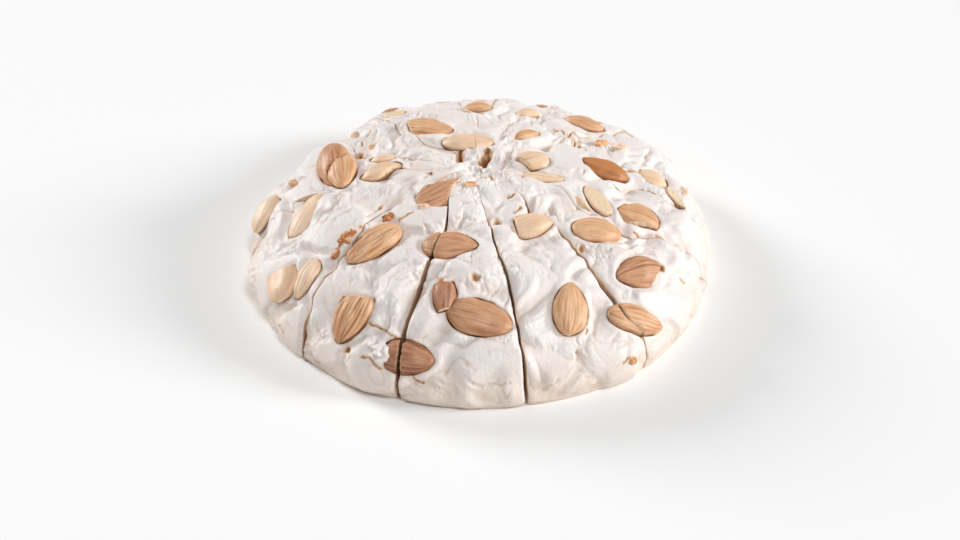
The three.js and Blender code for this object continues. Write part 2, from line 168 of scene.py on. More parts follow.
# Swells (+) and hollows (-): azimuth, radius, spread, rise.
SWELLS = [
    (30, 94, 15, 3.6), (9, 98, 8, 1.8), (-14, 99, 12, -2.0), (-52, 99, 15, 2.0), (-80, 101, 4, -2.4),
    (-119, 100, 9, 3.2), (-160, 98, 8, 1.4), (-165, 102, 5, 2.6), (-174, 99, 8, -1.8),
    (140, 92, 15, -2.6), (62, 93, 12, 1.4),
    (96, 90, 9, -1.4), (118, 96, 10, 1.4), (-158, 62, 14, 2.8), (-137, 89, 7, 1.8), (-115, 75, 7, 2.0),
    (-93, 60, 7.5, 2.8), (-96, 34, 7, 1.8), (-67, 62, 12, 1.8), (-53, 98, 8, 1.4), (-9, 88, 11, 3.0),
    (-30, 39, 8, 2.0), (31, 82, 8, 1.6), (17, 22, 6, 1.2), (112, 68, 10, 1.0), (152, 78, 9, 1.4),
    (80, 78, 10, 0.6), (-166, 78, 6, -2.4), (-133, 54, 5, -2.2), (-28, 68, 6, -2.8),
    (-65, 49, 5.5, -2.2),
    (-36, 50, 5, -1.4), (-70, 91, 4, -1.6), (31, 52, 6, -1.4), (178, 44, 5, -1.6), (90, 4, 7, -2.2),
]


def dome(angle):
    """Distance out and height of the even dome at a profile angle, from 0 at the foot."""
    up = CAKE_HEIGHT * np.sin(angle) ** (2 / FULLNESS_UP)
    tuck = FOOT_TUCK * np.maximum(0, 1 - up / FOOT_TUCK_HEIGHT) ** 2
    return CAKE_RADIUS * np.cos(angle) ** (2 / FULLNESS_OUT) - tuck, up


SLOPE_STEP = 0.01


def dome_normal(angle):
    out_low, up_low = dome(np.maximum(angle - SLOPE_STEP, 0))
    out_high, up_high = dome(np.minimum(angle + SLOPE_STEP, pi / 2 - 1e-9))
    normal = np.stack([up_high - up_low, out_low - out_high], -1)
    return normal / np.linalg.norm(normal, axis=-1, keepdims=True)


def around(azimuth, out, up):
    return np.stack([out * np.cos(azimuth), out * np.sin(azimuth), up + 0 * azimuth], -1)


def angle_at_radius(radius):
    return np.arccos((radius / CAKE_RADIUS) ** (FULLNESS_OUT / 2))


# The profile from the middle to the foot, to measure how far down the skin a place is.
PROFILE_STEPS = 1600
PROFILE = np.linspace(pi / 2 - 1e-6, 0, PROFILE_STEPS)
PROFILE_OUT, PROFILE_UP = dome(PROFILE)
PROFILE_DOWN = np.concatenate([[0], np.cumsum(np.hypot(np.diff(PROFILE_OUT), np.diff(PROFILE_UP)))])
SKIN_LENGTH = PROFILE_DOWN[-1]


def dome_place(azimuth, down):
    """A point of the even dome and its normal, from degrees and millimetres down the skin."""
    angle = np.interp(down, PROFILE_DOWN, PROFILE)
    out, up = dome(angle)
    slope = dome_normal(angle)
    turn = np.radians(azimuth)
    return around(turn, out, up), around(turn, slope[..., 0], slope[..., 1])


swell_places = []
for azimuth, radius, spread, rise in SWELLS:
    out, up = dome(angle_at_radius(radius))
    swell_places.append((around(radians(azimuth), out, up), spread, rise))


def swell_at(points):
    total = np.zeros(len(points))
    for centre, spread, rise in swell_places:
        total += rise * np.exp(-((points - centre) ** 2).sum(-1) / (2 * spread * spread))
    return total


def skin_point(azimuth, angle, lift):
    """A point of the swelled skin in millimetres, from an azimuth in radians and a profile angle."""
    out, up = dome(angle)
    slope = dome_normal(np.array(angle))
    rise = swell_at(around(np.array([azimuth]), out, up))[0] + lift
    return Vector(around(azimuth, out + rise * slope[0], max(0, up + rise * slope[1])))


# The nearest place is sought among every eighth step, and then slid along the slope.
STRIDE = 8


def nearest_on_dome(points):
    """The places of the even dome under points in millimetres, and how far out (+) of it those lie."""
    out = np.hypot(points[:, 0], points[:, 1])
    up = points[:, 2]
    gap = (out[:, None] - PROFILE_OUT[::STRIDE]) ** 2 + (up[:, None] - PROFILE_UP[::STRIDE]) ** 2
    near = gap.argmin(1) * STRIDE
    slope = dome_normal(PROFILE[near])
    slid = (out - PROFILE_OUT[near]) * slope[:, 1] - (up - PROFILE_UP[near]) * slope[:, 0]
    angle = np.interp(PROFILE_DOWN[near] + slid, PROFILE_DOWN, PROFILE)
    dome_out, dome_up = dome(angle)
    slope = dome_normal(angle)
    over = (out - dome_out) * slope[:, 0] + (up - dome_up) * slope[:, 1]
    return around(np.arctan2(points[:, 1], points[:, 0]), dome_out, dome_up), over


def height_over_skin(points):
    """How far points in millimetres lie outside (+) or inside (-) the swelled skin."""
    under, over = nearest_on_dome(points)
    return over - swell_at(under)


def smooth_step(value, low, high):
    t = np.clip((value - low) / (high - low), 0, 1)
    return t * t * (3 - 2 * t)


# ---- The knife strokes ---------------------------------------------------------------------------
# Twelve cuts from the middle outwards, made with a wet knife once the cake had set, straight down
# to the foot. The knife strays where it meets an almond, and cuts through some of them. The soft
# nougat closed again in the middle.

# Azimuth, width of the gap at some radii, and how far the stroke strays anticlockwise at some radii.
CLOSED = 0.05
STROKES = [
    (-110, [(12, CLOSED), (48, 1.2), (66, 1.9), (84, 2.1), (103, 1.6)],
     [(20, -5.5), (42, 0), (84, 0), (103, 2)]),
    (-80, [(12, CLOSED), (60, 1.2), (85, 1.2), (103, 1.8)],
     [(16, -3.4), (44, -2.4), (70, 0), (101, 0.9)]),
    (-50,
     [(20, CLOSED), (34, 1.3), (44, 0.5), (58, 1.5), (67, 1.2), (78, 2.3), (88, 1.6), (100, 0.8)],
     [(28, 0.6), (37, -2.6), (45, 1.5), (80, -0.3), (94, -2.6), (100, 2)]),
    (-20, [(12, CLOSED), (60, 0.6)],
     [(35, -0.7), (48, -7.5), (57, -5.8), (70, -8.2), (79, 2), (97, 7)]),
    (0, [(12, CLOSED), (50, 0.7)], [(41, -2), (60, -3.2), (69, 3), (80, 0)]),
    (43, [(12, CLOSED), (50, 0.6)], [(25, -2), (40, -2.5), (70, -4)]),
    (63, [(60, CLOSED), (95, 0.6)], [(31, -1.7), (45, -2), (67, 2.5), (100, 3)]),
    (97, [(60, CLOSED), (95, 0.6)], [(50, 0)]),
    (131, [(12, CLOSED), (50, 0.6)], [(19, -1.6), (34, 3.4), (49, 1.8), (71, -5)]),
    (159, [(12, CLOSED), (50, 0.6)],
     [(22, 0.7), (37, -1.3), (47, 0.3), (57, -2), (69, -13), (100, -14)]),
    (183, [(12, CLOSED), (50, 0.6)],
     [(20, -3.5), (34, -6.5), (48, 1.3), (57, 6.5), (66, 2), (80, 0.5)]),
    (221, [(12, CLOSED), (50, 0.6), (100, 1)],
     [(20, -3.5), (40, -7.5), (52, -6.3), (69, -2), (80, -1.2), (88, 2.2), (95, 2.6), (102, 6.5)]),
]
TIP_RADIUS = 1.2
SECTOR_SPARE = 30
SECTOR_STEPS = 120
SECTOR_RINGS = 20
SECTOR_RING_HEIGHT = 3


def eased_at(steps, radius):
    """A value given at some radii, eased from one of them to the next and even beyond them."""
    value = np.full_like(radius, steps[-1][1])
    value[radius < steps[0][0]] = steps[0][1]
    for (near, low), (far, high) in zip(steps, steps[1:]):
        inside = (radius >= near) & (radius < far)
        value[inside] = low + (high - low) * smooth_step(radius[inside], near, far)
    return value


def gap_of(stroke, radius):
    return eased_at(STROKES[stroke % len(STROKES)][1], radius)


def wedge_sides(index, radius, spread=0.0):
    """Azimuths of a wedge's two cut faces at an array of radii, moved apart by `spread` each."""
    sides = []
    for stroke, side in ((index, 1), ((index + 1) % len(STROKES), -1)):
        azimuth, _, stray = STROKES[stroke]
        half = gap_of(stroke, radius) / 2 - spread
        sides.append(radians(azimuth) + (eased_at([(0, 0)] + stray, radius) + side * half) / radius)
    start, end = sides
    while (end < start).any():
        end = end + 2 * pi
    return start, end


def read_places(piece):
    """The places of a piece's vertices, in millimetres."""
    places = np.empty(len(piece.data.vertices) * 3)
    piece.data.vertices.foreach_get("co", places)
    return places.reshape(-1, 3) / MM


def write_places(piece, places):
    piece.data.vertices.foreach_set("co", (places * MM).ravel())
    piece.data.update()


def start_piece(name):
    piece = bpy.context.object
    piece.name = piece.data.name = name
    return piece


def pick(piece):
    for other in bpy.context.selected_objects:
        other.select_set(False)
    piece.select_set(True)
    bpy.context.view_layer.objects.active = piece


def apply_modifier(piece, kind, **settings):
    pick(piece)
    modifier = piece.modifiers.new(kind.lower(), kind)
    for key, value in settings.items():
        setattr(modifier, key, value)
    bpy.ops.object.modifier_apply(modifier=modifier.name)


def shape_with(piece, tool, operation="DIFFERENCE"):
    apply_modifier(piece, "BOOLEAN", object=tool, operation=operation, solver="MANIFOLD")


def throw_away(piece):
    bpy.data.meshes.remove(piece.data)


def face_outwards(piece):
    pick(piece)
    bpy.ops.object.mode_set(mode="EDIT")
    bpy.ops.mesh.select_all(action="SELECT")
    bpy.ops.mesh.normals_make_consistent(inside=False)
    bpy.ops.object.mode_set(mode="OBJECT")


# An upright sector for each wedge, which trims the wedge and its almonds, and is thrown away.
sectors = []
for index in range(len(STROKES)):
    bpy.ops.object.select_all(action="DESELECT")
    bpy.ops.mesh.primitive_grid_add(x_subdivisions=1, y_subdivisions=SECTOR_STEPS, size=2)
    sector = start_piece("sector")
    bpy.ops.object.mode_set(mode="EDIT")
    for _ in range(SECTOR_RINGS):
        bpy.ops.mesh.extrude_region_move(TRANSFORM_OT_translate={"value": (0, 0, 1)})
    bpy.ops.object.mode_set(mode="OBJECT")
    flat = read_places(sector) * MM
    radius = TIP_RADIUS + (CAKE_RADIUS + SECTOR_SPARE - TIP_RADIUS) * (flat[:, 1] + 1) / 2
    start, end = wedge_sides(index, radius)
    azimuth = start + (end - start) * (flat[:, 0] + 1) / 2
    write_places(sector, around(azimuth, radius, flat[:, 2] * SECTOR_RING_HEIGHT))
    face_outwards(sector)
    sectors.append(sector)


# ---- Almonds -------------------------------------------------------------------------------------
# Whole almonds, skinned and roasted, stirred into the warm nougat and half sunk in its skin. The
# roast left them tan to brown, with fine ribs from butt to point; where they broke or the knife
# went through, the flesh is pale cream.

ALMOND_LENGTH = 25
ALMOND_WIDTH = 13.5
ALMOND_THICK = 8.5
ALMOND_SINK = 1.2
BUTT_POWER = 0.5
POINT_POWER_ACROSS = 0.64
POINT_POWER_UP = 0.55
EDGE_POWER = 0.95
POCKET_CLEARANCE = 0.15
CUT_ROUNDING = 0.0004

# The wedges that hold it, azimuth and radius of its middle, azimuth its point looks to, roast, rib
# depth, and what differs from a usual one. A break is (x, y, facing) in the almond's own plane.
ALMONDS = [
    ([11, 0], (-103.6, 49.8), -2, "brown", 0.12, dict(length=23, width=14)),
    ([0], (-101, 73), -92, "russet", 0.10,
     dict(length=18, width=10, breaks=[(-6, 0, 180), (6, 0, 15)])),
    ([0], (-90, 80), -13, "brown", 0.10, dict(length=27, width=15.5)),
    ([11, 0], (-108, 95), -16, "russet", 0.25, dict(length=24, width=14, sink=2)),
    ([1], (-59, 41.5), 26, "pale", 0.05, dict(length=21, width=12, breaks=[(-7, 0, 170), (2, 5, 70)])),
    ([1], (-64, 81.5), 87, "tan", 0.12, dict(length=22.5, width=14.5)),
    ([1, 2], (-48.5, 93.5), 11, "tan", 0.15, dict(length=26, width=12.5, sink=1.8)),
    ([2], (-35, 59), 12, "tan", 0.04, dict(length=22, width=14)),
    ([2], (-37.3, 82), -148, "brown", 0.12, dict(length=24, width=15, breaks=[(-4, 5, 130)])),
    ([3], (-13, 27), 0, "cream", 0.08, dict(length=20, width=7, thick=7, sink=1.6)),
    ([3], (-18, 51.5), 122, "cream", 0.03, dict(length=18, width=9, slice=1.5, sink=1)),
    ([3], (-16, 69.5), 178, "tan", 0.06, dict(length=19.5, width=14.5, breaks=[(0, 5, 96)])),
    ([4], (13, 22.5), 210, "pale", 0.05, dict(length=17, width=12.5, sink=1.6, breaks=[(4, 0, 10)])),
    ([4], (9.4, 54.4), 160, "deep", 0.12, dict(length=22.5, width=13)),
    ([4], (3.2, 85), -60, "cream", 0.05, dict(length=14, width=6.5, slice=1.5)),
    ([4], (10.7, 77), 185, "cream", 0.06, dict(length=15.5, width=13, sink=1.6)),
    ([4], (33, 99), 120, "brown", 0.1, dict(length=20, width=12, sink=3)),
    ([5], (55, 36), 30, "tan", 0.08, dict(length=14, width=6.5, thick=7)),
    ([5], (48.5, 72), 165, "tan", 0.08, dict(length=19, width=12)),
    ([5], (55, 98), 150, "tan", 0.1, dict(length=22, width=12, sink=2)),
    ([6], (68, 60), 20, "pale", 0.08, dict(length=13, width=7.5, thick=7)),
    ([6], (91, 62), 180, "tan", 0.1, dict(length=15, width=10, sink=2)),
    ([6], (72, 97), 100, "brown", 0.12, dict(length=24, width=13, sink=2)),
    ([6], (88, 96), 20, "pale", 0.1, dict(length=23, width=12)),
    ([6, 7], (104, 22), -3, "pale", 0.05, dict(length=23, width=12)),
    ([7], (122.5, 44), -29, "tan", 0.2, dict(length=27, width=16, breaks=[(-7, -3, 220)])),
    ([7], (121, 76), -60, "cream", 0.05, dict(length=15, width=11, slice=2)),
    ([7], (103, 90), 195, "tan", 0.12, dict(length=25, width=14, sink=2)),
    ([7], (115, 97), 60, "brown", 0.15, dict(length=22, width=12)),
    ([8], (138, 100), 60, "tan", 0.12, dict(length=24, width=13, sink=3)),
    ([9], (172.3, 60), -83, "tan", 0.06, dict(length=26, width=14, sink=-1, pitch=-5, roll=-8)),
    ([9], (169.3, 63.8), -86, "brown", 0.04, dict(length=28, width=15, sink=-2.1, pitch=-14)),
    ([9], (175, 43), 203, "pale", 0.05, dict(length=21, width=10)),
    ([9], (162.5, 44.5), 180, "cream", 0.05, dict(length=12, width=5.5, thick=6, sink=1.6)),
    ([9], (176.7, 94.7), -115, "cream", 0.06, dict(length=20, width=15, sink=0.6)),
    ([10], (-169.4, 75.3), 60, "cream", 0.04, dict(length=27, width=12.5, thick=7, pitch=7)),
    ([10], (-152, 92.4), 94, "pale", 0.03,
     dict(length=24, width=16.5, breaks=[(2.5, 0, 0)], pitch=-12)),
    ([10], (-144.6, 86.5), -122, "cream", 0.15, dict(length=18.5, width=10, roll=20)),
    ([11], (-135.3, 61), -146, "tan", 0.3, dict(length=26, width=14.2, sink=0.6)),
    ([11], (-131, 23.5), 33, "brown", 0.12, dict(length=26.5, width=15.5)),
    ([11], (-125.2, 88), -125, "tan", 0.3, dict(length=25.5, width=15.5, breaks=[(-7, -1, 200)])),
]


def fullness(along, point_power):
    widest = BUTT_POWER / (BUTT_POWER + point_power)
    return (along / widest) ** BUTT_POWER * ((1 - along) / (1 - widest)) ** point_power


def place_on_skin(at, heading, sink, pitch=0, roll=0):
    """Where something lies: X along the heading, Z along the dome's normal. In millimetres."""
    angle = float(angle_at_radius(at[1]))
    slope = dome_normal(np.array(angle))
    normal = Vector(around(radians(at[0]), slope[0], slope[1]))
    along = Vector(around(radians(heading), 1, 0))
    along.z = -along.dot(normal) / normal.z
    along.normalize()
    place = Matrix((along, normal.cross(along), normal)).transposed().to_4x4()
    place @= Matrix.Rotation(radians(-pitch), 4, "Y") @ Matrix.Rotation(radians(roll), 4, "X")
    place.translation = skin_point(radians(at[0]), angle, -sink)
    return place


def to_metres(place):
    place = place.copy()
    place.translation *= MM
    return place


def almond_form(shape, spare, name):
    """An almond along X with its point at +X, broken and sliced as it should be, at the origin."""
    length = shape.get("length", ALMOND_LENGTH) + 2 * spare
    width = shape.get("width", ALMOND_WIDTH) + 2 * spare
    thick = shape.get("thick", ALMOND_THICK) + 2 * spare
    bpy.ops.object.select_all(action="DESELECT")
    bpy.ops.mesh.primitive_uv_sphere_add(segments=40, ring_count=28, radius=MM)
    piece = start_piece(name)
    ball = read_places(piece)
    along = np.clip((1 + ball[:, 2]) / 2, 0, 1)
    ring = np.maximum(np.hypot(ball[:, 0], ball[:, 1]), 1e-6)
    side, top = ball[:, 1] / ring, -ball[:, 0] / ring
    x = (along - 0.5) * length
    y = width / 2 * side * fullness(along, POINT_POWER_ACROSS)
    z = thick / 2 * np.sign(top) * np.abs(top) ** EDGE_POWER * fullness(along, POINT_POWER_UP)
    write_places(piece, np.stack([x, y, z], -1))
    bpy.ops.object.mode_set(mode="EDIT")
    planes = []
    for break_x, break_y, facing in shape.get("breaks", []):
        out = Vector((np.cos(radians(facing)), np.sin(radians(facing)), 0))
        planes.append((Vector((break_x, break_y, 0)) + out * spare, out))
    if "slice" in shape and not spare:
        planes.append((Vector((0, 0, shape["slice"])), Vector((0, 0, 1))))
    for where, out in planes:
        bpy.ops.mesh.select_all(action="SELECT")
        bpy.ops.mesh.bisect(plane_co=where * MM, plane_no=out, use_fill=True, clear_outer=True)
    bpy.ops.mesh.select_all(action="SELECT")
    bpy.ops.mesh.normals_make_consistent(inside=False)
    bpy.ops.object.mode_set(mode="OBJECT")
    return piece


def set_attribute(piece, name, values, kind="FLOAT"):
    attribute = piece.data.attributes.new(name, kind, "POINT")
    key = "vector" if kind == "FLOAT_VECTOR" else "value"
    attribute.data.foreach_set(key, np.asarray(values, dtype=np.float32).ravel())


RIB_DEPTH = 3.2
DENT_DEPTH = 0.8
CHIP_DEPTH = 0.4


def rib_and_grain(piece, place, shape, rib, seed):
    """Ribs from butt to point, rough breaks, and attributes for grain, cut flesh and sinking in."""
    places = read_places(piece)
    back = np.array(place.inverted())
    own = places @ back[:3, :3].T + back[:3, 3]
    length = shape.get("length", ALMOND_LENGTH)
    width = shape.get("width", ALMOND_WIDTH)
    thick = shape.get("thick", ALMOND_THICK)
    along = np.clip(own[:, 0] / length + 0.5, 0.01, 0.99)
    across = np.abs(own[:, 1]) / (width / 2 * fullness(along, POINT_POWER_ACROSS))
    up = np.abs(own[:, 2]) / (thick / 2 * fullness(along, POINT_POWER_UP))
    level = np.sqrt(across ** 2 + up ** (2 / EDGE_POWER))
    cut = 1 - smooth_step(level, 0.86, 0.95)
    around_axis = np.arctan2(own[:, 2], own[:, 1])
    normals = np.empty(len(places) * 3)
    piece.data.vertices.foreach_get("normal", normals)
    normals = normals.reshape(-1, 3)
    ribs = []
    for x, a in zip(own[:, 0], around_axis):
        coarse = Vector((x * 0.05 + seed, np.cos(a) * 3.4 + 0.03 * x, np.sin(a) * 2.6))
        fine = Vector((x * 0.12, np.cos(a) * 9, np.sin(a) * 8 + seed))
        ribs.append(0.35 - 1.6 * abs(noise.noise(coarse)) + 0.5 * noise.noise(fine))
    ribs = np.array(ribs)
    dents = np.array([noise.noise(Vector(p) * 0.14 + Vector((seed, 0, 0))) for p in own])
    chips = np.array([noise.noise(Vector(p) * 0.7) for p in own])
    rise = (1 - cut) * (rib * RIB_DEPTH * ribs + DENT_DEPTH * dents) + cut * CHIP_DEPTH * chips
    over = height_over_skin(places)
    rise = np.minimum(rise, 0.6 * POCKET_CLEARANCE + 0.8 * smooth_step(over, -0.5, 1))
    write_places(piece, places + normals * rise[:, None])
    set_attribute(piece, "grain", own * 0.1, "FLOAT_VECTOR")
    set_attribute(piece, "cut", cut)
    set_attribute(piece, "over", over)
    set_attribute(piece, "rib", ribs * min(1, 0.3 + rib * 4))


# In a Mix node for colours, input 0 is the factor, 6 and 7 are the colours, and output 2 is the result.
FLESH = "#f6dcb9"
# Brown of seeped sugar, also used as painted shade where an almond meets the nougat.
CARAMEL_AND_CREVICE_SHADE = "#7a4420"


def roast_material(name, ridge, groove, toast):
    """Skinned almond, dry roasted: satin and a little oily, browner in patches, with painted shade in
    the grooves between the ribs.
    """
    material, tree = new_material(name)
    grain = add_node(tree, "ShaderNodeAttribute", attribute_name="grain").outputs["Vector"]
    cut = add_node(tree, "ShaderNodeAttribute", attribute_name="cut").outputs["Fac"]
    over = add_node(tree, "ShaderNodeAttribute", attribute_name="over").outputs["Fac"]
    rib = add_node(tree, "ShaderNodeAttribute", attribute_name="rib").outputs["Fac"]
    # Fibres are drawn about 0.6 mm apart, coarser than real, so that they show.
    stretch = add_node(tree, "ShaderNodeMapping", {"Vector": grain, "Scale": (1.6, 7, 7)}).outputs[0]
    fibres = add_node(
        tree, "ShaderNodeTexNoise",
        {"Vector": stretch, "Scale": 1.6, "Detail": 4.0, "Roughness": 0.6, "Distortion": 0.5},
    ).outputs["Fac"]
    patches = add_node(
        tree, "ShaderNodeTexNoise", {"Vector": grain, "Scale": 1.7, "Detail": 2.0, "Roughness": 0.5},
    ).outputs["Fac"]
    # Painted shade: the colour turns to the groove colour where the ribs dip.
    painted_groove_shade = add_node(
        tree, "ShaderNodeMapRange", {0: rib, 1: 0.1, 2: -0.5, 3: 0.0, 4: 0.85},
    ).outputs[0]
    in_fibre = add_node(
        tree, "ShaderNodeMapRange", {0: fibres, 1: 0.4, 2: 0.72, 3: 0.0, 4: 0.3},
    ).outputs[0]
    darker = add_node(
        tree, "ShaderNodeMath", {0: painted_groove_shade, 1: in_fibre}, operation="ADD", use_clamp=True,
    ).outputs[0]
    outside = add_node(
        tree, "ShaderNodeMix", {0: darker, 6: linear(ridge), 7: linear(groove)}, data_type="RGBA",
    ).outputs[2]
    in_patch = add_node(
        tree, "ShaderNodeMapRange", {0: patches, 1: 0.5, 2: 0.75, 3: 0.0, 4: 0.5},
    ).outputs[0]
    toasted = add_node(
        tree, "ShaderNodeMix", {0: in_patch, 6: outside, 7: linear(toast)}, data_type="RGBA",
    ).outputs[2]
    opened = add_node(
        tree, "ShaderNodeMix", {0: cut, 6: toasted, 7: linear(FLESH)}, data_type="RGBA",
    ).outputs[2]
    # Sugar that seeped down beside the almond browned there, and the same darkening where the almond
    # sinks into the nougat is also painted shade of the crevice.
    caramel_and_crevice_shade = add_node(
        tree, "ShaderNodeMapRange", {0: over, 1: 0.5, 2: -1.2, 3: 0.0, 4: 0.8},
        interpolation_type="SMOOTHSTEP",
    ).outputs[0]
    colour = add_node(
        tree, "ShaderNodeMix", {0: caramel_and_crevice_shade, 6: opened, 7: linear(CARAMEL_AND_CREVICE_SHADE)}, data_type="RGBA",
    ).outputs[2]
    bump = add_node(
        tree, "ShaderNodeBump", {"Height": fibres, "Strength": 0.25, "Distance": 0.0004},
    ).outputs[0]
    flesh = add_node(
        tree, "ShaderNodeBsdfPrincipled",
        {
            "Base Color": colour, "Roughness": 0.42, "IOR": 1.46, "Normal": bump,
            "Subsurface Weight": 0.12, "Subsurface Radius": (0.6, 0.35, 0.2),
            "Subsurface Scale": 0.0012,
        },
    ).outputs[0]
    add_node(tree, "ShaderNodeOutputMaterial", {"Surface": flesh})
    return material


# Each roast gives its ridge colour, its groove colour, which also serves as painted shade in the
# grooves, and its toasted patch colour.
ROASTS = {
    "cream": roast_material("almond_blanched", "#fee3c8", "#efc79e", "#f3c898"),
    "pale": roast_material("almond_pale_roast", "#f9dabb", "#e3b58c", "#eab98d"),
    "tan": roast_material("almond_tan_roast", "#f0c39a", "#cf9466", "#da9b6a"),
    "brown": roast_material("almond_brown_roast", "#dda983", "#b17952", "#c2855a"),
    "russet": roast_material("almond_dark_roast", "#c99270", "#955f43", "#a46a4a"),
    "deep": roast_material("almond_deep_roast", "#d39059", "#a7653b", "#ba7240"),
    "orange": roast_material("almond_broken_flesh", "#f3be8c", "#da9250", "#e29c5c"),
}

# Each almond lies on the skin, is trimmed by the strokes, and gives way to those laid before it.
# Its pocket in the nougat is the same almond a little larger, with an uneven rim.
pockets = []
count = 0
for number, (wedges, at, heading, roast, rib, shape) in enumerate(ALMONDS):
    place = place_on_skin(
        at, heading, shape.get("sink", ALMOND_SINK), shape.get("pitch", 0), shape.get("roll", 0),
    )
    pocket = almond_form(shape, POCKET_CLEARANCE, "pocket")
    pocket.data.transform(to_metres(place))
    whole = almond_form(shape, 0, "whole_almond")
    whole.data.transform(to_metres(place))
    for others, earlier in pockets:
        if set(others) & set(wedges):
            shape_with(whole, earlier)
    pockets.append((wedges, pocket))
    for index in wedges:
        count += 1
        pick(whole)
        bpy.ops.object.duplicate()
        almond = start_piece(f"almond_{count:02d}_roasted")
        shape_with(almond, sectors[index], "INTERSECT")
        apply_modifier(almond, "REMESH", mode="VOXEL", voxel_size=CUT_ROUNDING, use_smooth_shade=True)
        rib_and_grain(almond, place, shape, rib, number * 3.7)
        almond.data.materials.clear()
        almond.data.materials.append(ROASTS[roast])
        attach(almond, "root")
        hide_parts(f"almond_{count:02d}")
    throw_away(whole)
